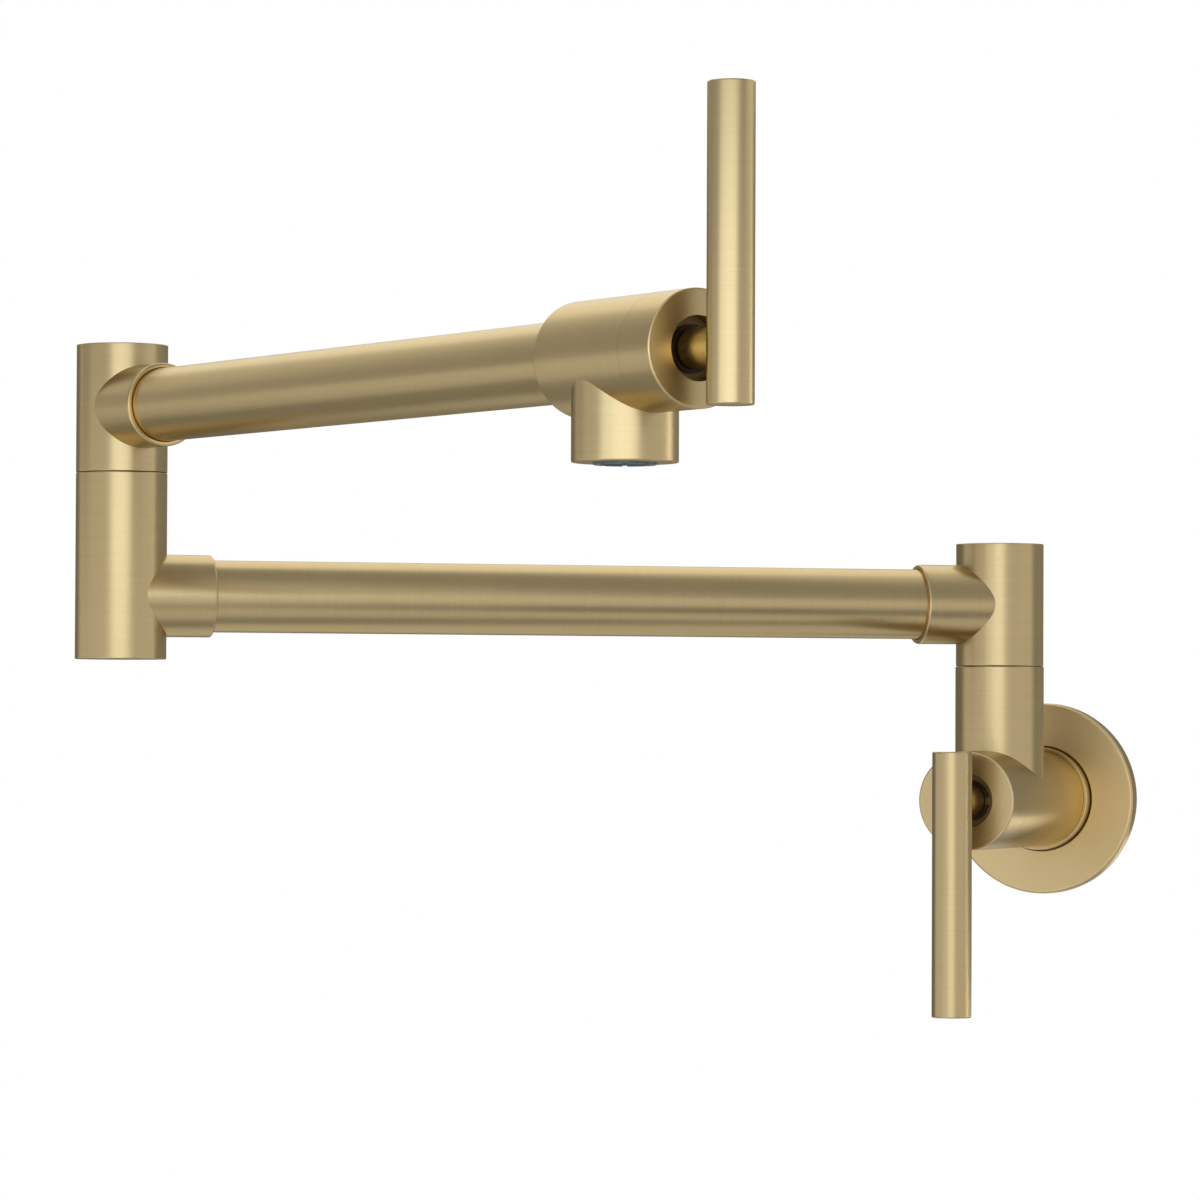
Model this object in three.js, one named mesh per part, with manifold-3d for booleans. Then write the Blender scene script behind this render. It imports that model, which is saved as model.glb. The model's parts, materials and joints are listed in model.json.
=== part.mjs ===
// Wall-mounted pot filler: a flange and an inlet valve at the wall, a fixed riser, and two
// equal arms that swivel one above the other, the upper one ending in a second valve whose
// outlet drops straight down. Both valves are quarter-turn ceramic-disc valves with bar levers.
//
// Millimetres, +Z up. The origin is the centre of the flange's back face, on the wall plane
// y = 0; the room is at -Y, and +X is to the right of someone who faces the wall.

import * as THREE from 'three';
import { mergeVertices } from 'three/addons/utils/BufferGeometryUtils.js';
import Module from 'manifold-3d';

const manifold = await Module();
manifold.setup();

// ---- Driving dimensions ----------------------------------------------------------------

const GAP = 0.3; // clearance left between pieces that touch, screw together or turn

// Layout, from axis to axis
const WALL_TO_RISER = 52;
const ARM_LENGTH = 291.6;
const LOWER_ARM_HEIGHT = 63.7;
const ARM_RISE = 58.5;
const LOWER_ARM_HEADING = 216.8; // degrees from +X, seen from above
const UPPER_ARM_HEADING = -36;

// Wall flange and the sleeve that it slides on
const FLANGE_RADIUS = 31.9;
const FLANGE_THICKNESS = 5;
const FLANGE_PLATE = 2.1;
const FLANGE_RIM = 2.5;
const FLANGE_EDGE = 0.8;
const SLEEVE_RADIUS = 17.25;
const SLEEVE_LENGTH = 8.8;
const SLEEVE_WALL = 2.95;
const SLEEVE_RUNNING_GAP = 0.65;
const GASKET_WIDTH = 8;

// Inlet adapter, screwed into the valve body, whose socket takes the supply nipple
const INLET_RADIUS = 9.3;
const INLET_DEPTH = 18;
const ADAPTER_NOSE_RADIUS = 12;
const ADAPTER_LENGTH = 22;
const INLET_WASHER_WIDTH = 3;
const INLET_WASHER_THICKNESS = 2;
const STRAINER_THICKNESS = 0.8;
const STRAINER_HOLE = 1.2;
const STRAINER_PITCH = 4.2;
const STRAINER_RINGS = 1;

// Valve barrels and their front caps
const BARREL_RADIUS = 16;
const BARREL_EDGE = 0.5;
const VALVE_FACE_REACH = 35.8; // from the riser or outlet axis to the front face
const VALVE_REAR_REACH = 21.3; // from the outlet axis to the rear face
const CAP_LENGTH = 14.8;
const CAP_FACE_WALL = 4;
const CAP_WALL = 2.7;
const STEM_OPENING_RADIUS = 8.7;
const WATERWAY_RADIUS = 7;

// Quarter-turn cartridge
const CARTRIDGE_RADIUS = 10.5;
const CARTRIDGE_HEX_FLATS = 20;
const CARTRIDGE_HEX_HEIGHT = 4.2;
const CARTRIDGE_LIFT = 1;
const SEAT_SETBACK = 9; // from the riser or outlet axis back to the seat
const SEAL_HEIGHT = 3;
const SEAL_WALL = 2.9;
const DISC_RADIUS = 7.9;
const DISC_THICKNESS = 3;
const DISC_WEB = 1.7; // least wall round the ports
const PORT_HALF_ANGLE = 35; // degrees
const DRIVE_NOTCH_WIDTH = 3;
const DRIVE_NOTCH_DEPTH = 1.7;
const DRIVE_LUG_REACH = 2;
const WINDOW_RADIUS = 3.4;
const SPINDLE_FOOT = 3;
const SPINDLE_RADIUS = 4.7;
const SPLINE_RADIUS = 3;
const SPLINE_REACH = 5; // how far the spline stands out of the valve's front face
const CIRCLIP_THICKNESS = 0.8;
const CIRCLIP_WIDTH = 2.4;

// Lever
const LEVER_RADIUS = 6.35;
const LEVER_LONG_END = 68.9;
const LEVER_SHORT_END = 15.7;
const LEVER_STANDOFF = 14.8; // from the valve's front face to the lever's axis
const LEVER_EDGE = 0.4;
const STEM_RADIUS = 5.4;
const STEM_DEPTH = 2; // how far the stem reaches into the cap
const STUD_RADIUS = 2.8;
const STUD_REACH = 2; // past the lever's axis
const HUB_SCREW_RADIUS = 1.7;
const HUB_SCREW_HEIGHT = 3;
const HUB_SCREW_SOCKET = 0.8;

// Columns: the riser, the elbow between the arms, and their swivels
const RISER_RADIUS = 14.45;
const COLUMN_RADIUS = 14.3;
const COLUMN_EDGE = 0.4;
const ARM_TO_SEAM = 20.1;
const ARM_TO_END = 20;
const COLUMN_END_WALL = 5;
const COLLAR_RADIUS = 12.95;
const COLLAR_REACH = 28.6;
const COLLAR_EDGE = 1.2;
const SPIGOT_RADIUS = 10.7;
const SPIGOT_WALL = 3.2;
const SPIGOT_THREAD = 8; // screwed up into the head
const SPIGOT_REACH = 24; // hanging down in the base
const SLIP_WASHER_WIDTH = 1.7;
const SLIP_WASHER_THICKNESS = 0.8;
const RETAINER_WIDTH = 2.2;
const RETAINER_THICKNESS = 1.3;
const RETAINER_DEPTH = 20.5; // below the seam

// Arm tubes
const TUBE_RADIUS = 11.35;
const TUBE_WALL = 2;
const TUBE_INSERTION = 11.3; // into a collar
const TUBE_VALVE_INSERTION = 8; // into the outlet valve
const TUBE_SEAL_SETBACK = 4; // from the tube's end

// Outlet and aerator
const OUTLET_RADIUS = 14.5;
const OUTLET_DROP = 28.7;
const OUTLET_EDGE = 0.4;
const OUTLET_WATERWAY_RADIUS = 6.5;
const AERATOR_RADIUS = 8.55;
const AERATOR_PROUD = 1;
const AERATOR_SOCKET_DEPTH = 11;
const AERATOR_WALL = 1.65;
const AERATOR_SHELF = 1.3;
const AERATOR_SEAL_THICKNESS = 1.5;
const AERATOR_NOTCHES = 8;
const AERATOR_NOTCH_WIDTH = 1.6;
const AERATOR_NOTCH_DEPTH = 1.2;
const SCREEN_THICKNESS = 1.2;
const SCREEN_RECESS = 3;
const SCREEN_HOLE = 0.7;
const SCREEN_PITCH = 1.9;
const SCREEN_RINGS = 2;

// O-rings: section radius, and how deep their grooves are cut
const SWIVEL_SEAL_SECTION = 0.7;
const SWIVEL_SEAL_DEPTHS = [7, 14]; // below the seam
const CARTRIDGE_SEAL_SECTION = 0.7;
const CARTRIDGE_SEAL_DEPTH = 21; // behind the valve's front face
const SPINDLE_SEAL_SECTION = 0.6;
const SPINDLE_SEAL_DEPTH = 15;
const TUBE_SEAL_SECTION = 0.45;
const SLEEVE_SEAL_SECTION = 0.75;

// Facets round each circle
const LARGE = 28;
const MEDIUM = 18;
const SMALL = 12;
const TINY = 8;

// ---- Materials -------------------------------------------------------------------------

const FINISHES = {
  satin_gold: [0xb79f6b, 0.34, 1],
  bare_brass: [0xc2a355, 0.4, 1],
  steel: [0xb4b6b8, 0.35, 1],
  ceramic: [0xeceae4, 0.25, 0],
  ptfe: [0xe6e4dc, 0.5, 0],
  rubber: [0x1d1d1f, 0.75, 0],
  grey_plastic: [0x6d7880, 0.45, 0],
};

function finish(name) {
  const [color, roughness, metalness] = FINISHES[name];
  return new THREE.MeshStandardMaterial({ color, roughness, metalness, flatShading: true });
}

// ---- Shape tools -----------------------------------------------------------------------

// One vertex per corner, and no slivers where a profile meets its axis.
function closed(geometry) {
  geometry.deleteAttribute('normal');
  geometry.deleteAttribute('uv');
  const merged = mergeVertices(geometry, 1e-4);
  const index = merged.index.array;
  const kept = [];
  for (let i = 0; i < index.length; i += 3) {
    const [a, b, c] = [index[i], index[i + 1], index[i + 2]];
    if (a !== b && b !== c && c !== a) kept.push(a, b, c);
  }
  merged.setIndex(kept);
  return merged;
}

// A profile of [radius, height] points, listed outside upwards, turned about Z.
function turned(profile, segments) {
  const onAxis = profile[0][0] === 0;
  const points = onAxis ? profile : [...profile, profile[0]];
  const lathe = new THREE.LatheGeometry(points.map(([r, h]) => new THREE.Vector2(r, h)), segments);
  return closed(lathe.rotateX(Math.PI / 2));
}

function rod(radius, bottom, top, segments, edge = 0) {
  if (edge === 0) {
    return turned([[0, bottom], [radius, bottom], [radius, top], [0, top]], segments);
  }
  const flat = radius - edge;
  const profile = [[0, bottom], [flat, bottom], [radius, bottom + edge]];
  profile.push([radius, top - edge], [flat, top], [0, top]);
  return turned(profile, segments);
}

function ring(inner, outer, bottom, top, segments) {
  return turned([[inner, bottom], [outer, bottom], [outer, top], [inner, top]], segments);
}

// The outside of a turned piece with square grooves, each [centre, half width, floor radius].
function groovedSide(radius, bottom, top, grooves) {
  const side = [[radius, bottom]];
  for (const [centre, half, floor] of grooves) {
    side.push([radius, centre - half], [floor, centre - half]);
    side.push([floor, centre + half], [radius, centre + half]);
  }
  side.push([radius, top]);
  return side;
}

// An O-ring that fills the space between its groove's floor and the bore round it.
function sealBetween(boreRadius, section, height) {
  const outside = boreRadius - 0.7 * GAP;
  const torus = new THREE.TorusGeometry(outside - section, section, 4, MEDIUM);
  return closed(torus).translate(0, 0, height);
}

function sealGroove(boreRadius, section, height) {
  const floor = boreRadius - 2 * section - 2 * GAP;
  return [height, section + GAP, floor];
}

// A flat ring with a slot across it, such as a circlip.
function splitRing(inner, outer, bottom, thickness) {
  const start = THREE.MathUtils.degToRad(12);
  const end = 2 * Math.PI - start;
  const shape = new THREE.Shape();
  shape.absarc(0, 0, outer, start, end, false);
  shape.absarc(0, 0, inner, end, start, true);
  const options = { depth: thickness, bevelEnabled: false, curveSegments: TINY };
  return closed(new THREE.ExtrudeGeometry(shape, options)).translate(0, 0, bottom);
}

// A disc with round holes on a hexagonal grid.
function perforatedDisc(radius, bottom, thickness, hole, pitch, rings) {
  const shape = new THREE.Shape();
  shape.absarc(0, 0, radius, 0, 2 * Math.PI, false);
  for (let row = -rings; row <= rings; row += 1) {
    const count = 2 * rings + 1 - Math.abs(row);
    for (let i = 0; i < count; i += 1) {
      const x = (i - (count - 1) / 2) * pitch;
      const y = (row * pitch * Math.sqrt(3)) / 2;
      const path = new THREE.Path();
      for (let corner = 0; corner < 6; corner += 1) {
        const angle = (corner * Math.PI) / 3;
        const point = [x + hole * Math.cos(angle), y + hole * Math.sin(angle)];
        if (corner === 0) path.moveTo(...point);
        else path.lineTo(...point);
      }
      path.closePath();
      shape.holes.push(path);
    }
  }
  const options = { depth: thickness, bevelEnabled: false, curveSegments: MEDIUM / 2 };
  return closed(new THREE.ExtrudeGeometry(shape, options)).translate(0, 0, bottom);
}

function alongX(geometry) {
  return geometry.rotateY(Math.PI / 2);
}

// ---- Booleans --------------------------------------------------------------------------

function solidOf(geometry) {
  const mesh = new manifold.Mesh({
    numProp: 3,
    vertProperties: new Float32Array(geometry.attributes.position.array),
    triVerts: new Uint32Array(geometry.index.array),
  });
  return new manifold.Manifold(mesh);
}

function geometryOf(solid) {
  const mesh = solid.getMesh();
  const geometry = new THREE.BufferGeometry();
  geometry.setAttribute('position', new THREE.BufferAttribute(mesh.vertProperties, 3));
  geometry.setIndex(new THREE.BufferAttribute(mesh.triVerts, 1));
  return geometry;
}

function joined(...geometries) {
  return geometryOf(geometries.map(solidOf).reduce((whole, piece) => whole.add(piece)));
}

function cut(geometry, ...tools) {
  return geometryOf(tools.map(solidOf).reduce((whole, tool) => whole.subtract(tool), solidOf(geometry)));
}

// ---- Assembly helpers ------------------------------------------------------------------

function addPiece(group, name, geometry, finishName) {
  const mesh = new THREE.Mesh(geometry, finish(finishName));
  mesh.name = name;
  group.add(mesh);
  return mesh;
}

function addGroup(parent, x, y, z, heading = 0) {
  const group = new THREE.Group();
  group.position.set(x, y, z);
  group.rotation.z = THREE.MathUtils.degToRad(heading);
  parent.add(group);
  return group;
}

// ---- Wall flange, its gasket, and the sleeve that carries it -----------------------------
// Profiles here are heights from the wall.

const flangeHole = SLEEVE_RADIUS + SLEEVE_RUNNING_GAP;
const sleeveBore = SLEEVE_RADIUS - SLEEVE_WALL;

function flangeGeometry() {
  const hollow = FLANGE_THICKNESS - FLANGE_PLATE;
  const rimInside = FLANGE_RADIUS - FLANGE_RIM;
  const lip = flangeHole + FLANGE_RIM;
  const profile = [[flangeHole, 2 * GAP], [lip, 2 * GAP], [lip, hollow], [rimInside, hollow]];
  profile.push([rimInside, 0], [FLANGE_RADIUS, 0]);
  for (let step = 0; step <= 3; step += 1) {
    const angle = (step * Math.PI) / 6;
    const radius = FLANGE_RADIUS - FLANGE_EDGE * (1 - Math.cos(angle));
    profile.push([radius, FLANGE_THICKNESS - FLANGE_EDGE * (1 - Math.sin(angle))]);
  }
  profile.push([flangeHole, FLANGE_THICKNESS]);
  return turned(profile, LARGE);
}

function gasketGeometry() {
  const outside = FLANGE_RADIUS - FLANGE_RIM - GAP;
  const thickness = FLANGE_THICKNESS - FLANGE_PLATE - GAP;
  return ring(outside - GASKET_WIDTH, outside, 0, thickness, LARGE);
}

function sleeveGeometry() {
  const groove = sealGroove(flangeHole, SLEEVE_SEAL_SECTION, FLANGE_THICKNESS / 2);
  const side = groovedSide(SLEEVE_RADIUS, 0, SLEEVE_LENGTH - GAP, [groove]);
  const front = [[SLEEVE_RADIUS - GAP, SLEEVE_LENGTH], [sleeveBore, SLEEVE_LENGTH]];
  return turned([[sleeveBore, 0], ...side, ...front], LARGE);
}

function addWallPieces(group) {
  addPiece(group, 'wall_flange', flangeGeometry(), 'satin_gold');
  addPiece(group, 'flange_gasket', gasketGeometry(), 'rubber');
  addPiece(group, 'flange_sleeve', sleeveGeometry(), 'satin_gold');
  const seal = sealBetween(flangeHole, SLEEVE_SEAL_SECTION, FLANGE_THICKNESS / 2);
  addPiece(group, 'flange_oring', seal, 'rubber');
}

// The sleeve is screwed onto the adapter's rear end, and the adapter's nose into the barrel.
function inletAdapterGeometry() {
  const rear = sleeveBore - GAP;
  const nose = [[ADAPTER_NOSE_RADIUS, SLEEVE_LENGTH], [ADAPTER_NOSE_RADIUS, ADAPTER_LENGTH]];
  const outside = [[rear, 0], [rear, SLEEVE_LENGTH], ...nose];
  const waterway = [[WATERWAY_RADIUS, ADAPTER_LENGTH], [WATERWAY_RADIUS, INLET_DEPTH]];
  return turned([[INLET_RADIUS, 0], ...outside, ...waterway, [INLET_RADIUS, INLET_DEPTH]], LARGE);
}

function addInletFittings(group) {
  addPiece(group, 'inlet_adapter', inletAdapterGeometry(), 'bare_brass');
  const bore = INLET_RADIUS - GAP;
  const washerTop = INLET_DEPTH - GAP;
  const washerBottom = washerTop - INLET_WASHER_THICKNESS;
  const washer = ring(bore - INLET_WASHER_WIDTH, bore, washerBottom, washerTop, MEDIUM);
  addPiece(group, 'inlet_washer', washer, 'rubber');
  const strainerBottom = washerBottom - GAP - STRAINER_THICKNESS;
  const strainer = perforatedDisc(
    bore, strainerBottom, STRAINER_THICKNESS, STRAINER_HOLE, STRAINER_PITCH, STRAINER_RINGS);
  addPiece(group, 'inlet_strainer', strainer, 'steel');
}

// ---- Swivel between a column's base and its head -----------------------------------------
// Frame: the column's axis is Z, and z = 0 is the seam between base and head.

const seamHalf = GAP / 2;
const spigotBore = SPIGOT_RADIUS + GAP;
const spigotWaterway = SPIGOT_RADIUS - SPIGOT_WALL;
const washerInside = spigotBore + GAP;
const washerOutside = washerInside + SLIP_WASHER_WIDTH;
const washerTop = -seamHalf;
const retainerInside = spigotBore - RETAINER_WIDTH / 2;
const retainerOutside = retainerInside + RETAINER_WIDTH;
const retainerHalf = RETAINER_THICKNESS / 2 + GAP;

// What is bored out of a base for its spigot, slip washer and retaining ring.
function swivelSocketTools() {
  const washerSeat = washerTop - SLIP_WASHER_THICKNESS - GAP;
  return [
    rod(spigotBore, -SPIGOT_REACH - 2 * GAP, GAP, MEDIUM),
    rod(washerOutside + GAP, washerSeat, GAP, MEDIUM),
    rod(retainerOutside + GAP, -RETAINER_DEPTH - retainerHalf, -RETAINER_DEPTH + retainerHalf, MEDIUM),
  ];
}

function spigotGeometry() {
  const seals = SWIVEL_SEAL_DEPTHS.map((depth) => sealGroove(spigotBore, SWIVEL_SEAL_SECTION, -depth));
  const retainer = [-RETAINER_DEPTH, retainerHalf, retainerInside - GAP];
  const grooves = [retainer, ...seals].sort((first, second) => first[0] - second[0]);
  const side = groovedSide(SPIGOT_RADIUS, -SPIGOT_REACH, SPIGOT_THREAD, grooves);
  return turned([[spigotWaterway, -SPIGOT_REACH], ...side, [spigotWaterway, SPIGOT_THREAD]], MEDIUM);
}

function addSwivelBasePieces(group, name) {
  const washerBottom = washerTop - SLIP_WASHER_THICKNESS;
  const washer = ring(washerInside, washerOutside, washerBottom, washerTop, MEDIUM);
  addPiece(group, `${name}_slip_washer`, washer, 'ptfe');
  const retainerBottom = -RETAINER_DEPTH - RETAINER_THICKNESS / 2;
  const retainer = splitRing(retainerInside, retainerOutside, retainerBottom, RETAINER_THICKNESS);
  addPiece(group, `${name}_retaining_ring`, retainer, 'steel');
}

function addSwivelHeadPieces(group, name) {
  addPiece(group, `${name}_spigot`, spigotGeometry(), 'bare_brass');
  const places = ['upper', 'lower'];
  SWIVEL_SEAL_DEPTHS.forEach((depth, i) => {
    const seal = sealBetween(spigotBore, SWIVEL_SEAL_SECTION, -depth);
    addPiece(group, `${name}_${places[i]}_oring`, seal, 'rubber');
  });
}

// ---- Columns with a collar for an arm ----------------------------------------------------
// Frame: the arm's axis crosses the column's axis at the origin, and the collar points to +X.

const columnWaterway = SPIGOT_RADIUS - SPIGOT_WALL + 1;
const tubeSocketRadius = TUBE_RADIUS + GAP;

function collarGeometry() {
  const profile = [[0, 0], [COLLAR_RADIUS, 0]];
  for (let step = 0; step <= 2; step += 1) {
    const angle = (step * Math.PI) / 4;
    const radius = COLLAR_RADIUS - COLLAR_EDGE * (1 - Math.cos(angle));
    profile.push([radius, COLLAR_REACH - COLLAR_EDGE * (1 - Math.sin(angle))]);
  }
  profile.push([0, COLLAR_REACH]);
  return alongX(turned(profile, LARGE));
}

function collarTools() {
  const socket = rod(tubeSocketRadius, COLLAR_REACH - TUBE_INSERTION - GAP, COLLAR_REACH + GAP, MEDIUM);
  const passage = rod(columnWaterway, 0, COLLAR_REACH, MEDIUM);
  return [alongX(socket), alongX(passage)];
}

function headGeometry() {
  const bottom = seamHalf - ARM_TO_SEAM;
  const column = rod(COLUMN_RADIUS, bottom, ARM_TO_END, LARGE, COLUMN_EDGE);
  const thread = rod(spigotBore, bottom - GAP, SPIGOT_THREAD + GAP - ARM_TO_SEAM, MEDIUM);
  const waterway = rod(columnWaterway, bottom, ARM_TO_END - COLUMN_END_WALL, MEDIUM);
  return cut(joined(column, collarGeometry()), thread, waterway, ...collarTools());
}

function elbowBaseGeometry() {
  const seam = ARM_RISE - ARM_TO_SEAM;
  const column = rod(COLUMN_RADIUS, -ARM_TO_END, seam - seamHalf, LARGE, COLUMN_EDGE);
  const waterway = rod(columnWaterway, COLUMN_END_WALL - ARM_TO_END, seam, MEDIUM);
  const socket = swivelSocketTools().map((tool) => tool.translate(0, 0, seam));
  return cut(joined(column, collarGeometry()), waterway, ...socket, ...collarTools());
}

// ---- Arm tubes ---------------------------------------------------------------------------
// Frame: the arm's axis is X, from the column that carries it at x = 0.

const tubeStart = COLLAR_REACH - TUBE_INSERTION;

function addTube(group, name, end) {
  const seals = [tubeStart + TUBE_SEAL_SETBACK, end - TUBE_SEAL_SETBACK];
  const grooves = seals.map((x) => sealGroove(tubeSocketRadius, TUBE_SEAL_SECTION, x));
  const bore = TUBE_RADIUS - TUBE_WALL;
  const side = groovedSide(TUBE_RADIUS, tubeStart, end, grooves);
  const tube = turned([[bore, tubeStart], ...side, [bore, end]], LARGE);
  addPiece(group, `${name}_tube`, alongX(tube), 'satin_gold');
  const places = ['inner', 'outer'];
  seals.forEach((x, i) => {
    const seal = sealBetween(tubeSocketRadius, TUBE_SEAL_SECTION, x);
    addPiece(group, `${name}_${places[i]}_oring`, alongX(seal), 'rubber');
  });
}

// ---- Valve cartridge, cap and lever --------------------------------------------------------
// Frame: the valve's axis is Z, outwards; z = 0 is the front face, and the lever's long end
// points to +X.

const seatPlane = -VALVE_FACE_REACH - SEAT_SETBACK;
const cartridgeBore = CARTRIDGE_RADIUS + GAP;
const hexFront = -CAP_FACE_WALL - GAP;
const hexBack = hexFront - CARTRIDGE_HEX_HEIGHT;
const noseFront = hexBack - GAP;
const noseRadius = BARREL_RADIUS - CAP_WALL - GAP;
const sealTop = seatPlane + GAP + SEAL_HEIGHT;
const fixedDiscBottom = sealTop + GAP;
const movingDiscBottom = fixedDiscBottom + DISC_THICKNESS + GAP;
const footBottom = movingDiscBottom + DISC_THICKNESS + GAP;
const footTop = footBottom + SPINDLE_FOOT;
const spindleBore = SPINDLE_RADIUS + GAP;
const splineStart = -STEM_DEPTH - 2 * GAP;
const stemBottom = -STEM_DEPTH;
const stemSocket = SPLINE_RADIUS + GAP;

function capGeometry() {
  const profile = [[STEM_OPENING_RADIUS, -CAP_FACE_WALL], [noseRadius + GAP, -CAP_FACE_WALL]];
  profile.push([noseRadius + GAP, -CAP_LENGTH], [BARREL_RADIUS, -CAP_LENGTH]);
  profile.push([BARREL_RADIUS, -BARREL_EDGE], [BARREL_RADIUS - BARREL_EDGE, 0], [STEM_OPENING_RADIUS, 0]);
  return turned(profile, LARGE);
}

function cartridgeGeometry() {
  const bottom = seatPlane + CARTRIDGE_LIFT;
  const groove = sealGroove(cartridgeBore, CARTRIDGE_SEAL_SECTION, -CARTRIDGE_SEAL_DEPTH);
  const side = groovedSide(CARTRIDGE_RADIUS, bottom, hexBack, [groove]);
  const barrel = turned([[0, bottom], ...side, [0, hexBack]], MEDIUM);
  const hexagon = rod(CARTRIDGE_HEX_FLATS / Math.sqrt(3), hexBack, hexFront, 6);
  const chamber = rod(DISC_RADIUS + GAP, bottom - GAP, footTop + GAP, MEDIUM);
  const bore = rod(spindleBore, bottom, GAP, SMALL);
  const window = rod(WINDOW_RADIUS, -CARTRIDGE_RADIUS - GAP, CARTRIDGE_RADIUS + GAP, TINY);
  const windows = alongX(window).translate(0, 0, -VALVE_FACE_REACH);
  return cut(joined(barrel, hexagon), chamber, bore, windows);
}

// A ceramic disc with two ports, and drive notches in its rim where notchAngle is given.
function discGeometry(bottom, portAngle, notchAngle) {
  const shape = new THREE.Shape();
  if (notchAngle === undefined) {
    shape.absarc(0, 0, DISC_RADIUS, 0, 2 * Math.PI, false);
  } else {
    const half = Math.asin(DRIVE_NOTCH_WIDTH / 2 / DISC_RADIUS);
    const floor = DISC_RADIUS - DRIVE_NOTCH_DEPTH;
    const floorHalf = Math.asin(DRIVE_NOTCH_WIDTH / 2 / floor);
    for (const side of [0, Math.PI]) {
      const middle = notchAngle + side;
      const next = middle + Math.PI;
      shape.absarc(0, 0, floor, middle - floorHalf, middle + floorHalf, false);
      shape.absarc(0, 0, DISC_RADIUS, middle + half, next - half, false);
    }
    shape.closePath();
  }
  const portHalf = THREE.MathUtils.degToRad(PORT_HALF_ANGLE);
  for (const side of [0, Math.PI]) {
    const port = new THREE.Path();
    const middle = portAngle + side;
    const outer = DISC_RADIUS - DRIVE_NOTCH_DEPTH - DISC_WEB / 2;
    port.absarc(0, 0, outer, middle - portHalf, middle + portHalf, false);
    port.absarc(0, 0, DISC_WEB, middle + portHalf, middle - portHalf, true);
    port.closePath();
    shape.holes.push(port);
  }
  const options = { depth: DISC_THICKNESS, bevelEnabled: false, curveSegments: TINY / 2 };
  return closed(new THREE.ExtrudeGeometry(shape, options)).translate(0, 0, bottom);
}

const circlipBottom = hexFront + GAP;
const circlipInside = SPINDLE_RADIUS - 2 * GAP;
const circlipOutside = circlipInside + CIRCLIP_WIDTH;

function spindleGeometry() {
  const groove = sealGroove(spindleBore, SPINDLE_SEAL_SECTION, -SPINDLE_SEAL_DEPTH);
  const clipHalf = CIRCLIP_THICKNESS / 2 + GAP;
  const clip = [circlipBottom + CIRCLIP_THICKNESS / 2, clipHalf, circlipInside - GAP];
  const shaft = groovedSide(SPINDLE_RADIUS, footTop, splineStart, [groove, clip]);
  const footRadius = DISC_RADIUS - GAP;
  const foot = [[0, footBottom], [footRadius, footBottom], [footRadius, footTop]];
  const spline = [[SPLINE_RADIUS, splineStart], [SPLINE_RADIUS, SPLINE_REACH], [0, SPLINE_REACH]];
  const turning = turned([...foot, ...shaft, ...spline], SMALL);
  const lugDepth = DRIVE_NOTCH_DEPTH - 2 * GAP;
  const lugHeight = DRIVE_LUG_REACH + SPINDLE_FOOT / 2;
  const lugs = [1, -1].map((side) => {
    const lug = new THREE.BoxGeometry(lugDepth, DRIVE_NOTCH_WIDTH - 2 * GAP, lugHeight);
    const x = side * (DISC_RADIUS - DRIVE_NOTCH_DEPTH + GAP + lugDepth / 2 - GAP / 2);
    return closed(lug.translate(x, 0, footBottom - DRIVE_LUG_REACH + lugHeight / 2));
  });
  return joined(turning, ...lugs);
}

function hubGeometry() {
  const stemTop = LEVER_STANDOFF;
  const blindEnd = SPLINE_REACH + GAP;
  const stem = [[stemSocket, stemBottom], [STEM_RADIUS, stemBottom], [STEM_RADIUS, stemTop]];
  const profile = [[0, blindEnd], [stemSocket, blindEnd], ...stem, [0, stemTop]];
  const turning = turned(profile, SMALL);
  const saddle = alongX(rod(LEVER_RADIUS + GAP, -2 * STEM_RADIUS, 2 * STEM_RADIUS, MEDIUM));
  const coped = cut(turning, saddle.translate(0, 0, LEVER_STANDOFF));
  const stud = rod(STUD_RADIUS, blindEnd + GAP, LEVER_STANDOFF + STUD_REACH, SMALL);
  const screwHole = alongX(rod(HUB_SCREW_RADIUS + GAP, 0, STEM_RADIUS + GAP, TINY));
  return cut(joined(coped, stud), screwHole.translate(0, 0, HUB_SCREW_HEIGHT));
}

function hubScrewGeometry() {
  const inner = SPLINE_RADIUS + GAP;
  const middle = (inner + STEM_RADIUS) / 2;
  const body = [[0, inner], [HUB_SCREW_RADIUS, inner], [HUB_SCREW_RADIUS, STEM_RADIUS]];
  const socket = [[HUB_SCREW_SOCKET, STEM_RADIUS], [HUB_SCREW_SOCKET, middle], [0, middle]];
  const screw = turned([...body, ...socket], TINY);
  return alongX(screw).translate(0, 0, HUB_SCREW_HEIGHT);
}

function leverGeometry() {
  const bar = alongX(rod(LEVER_RADIUS, -LEVER_SHORT_END, LEVER_LONG_END, MEDIUM, LEVER_EDGE));
  const socketTop = LEVER_STANDOFF + STUD_REACH + GAP;
  const socket = rod(STUD_RADIUS + GAP, 0, socketTop, SMALL);
  return cut(bar.translate(0, 0, LEVER_STANDOFF), socket);
}

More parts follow.
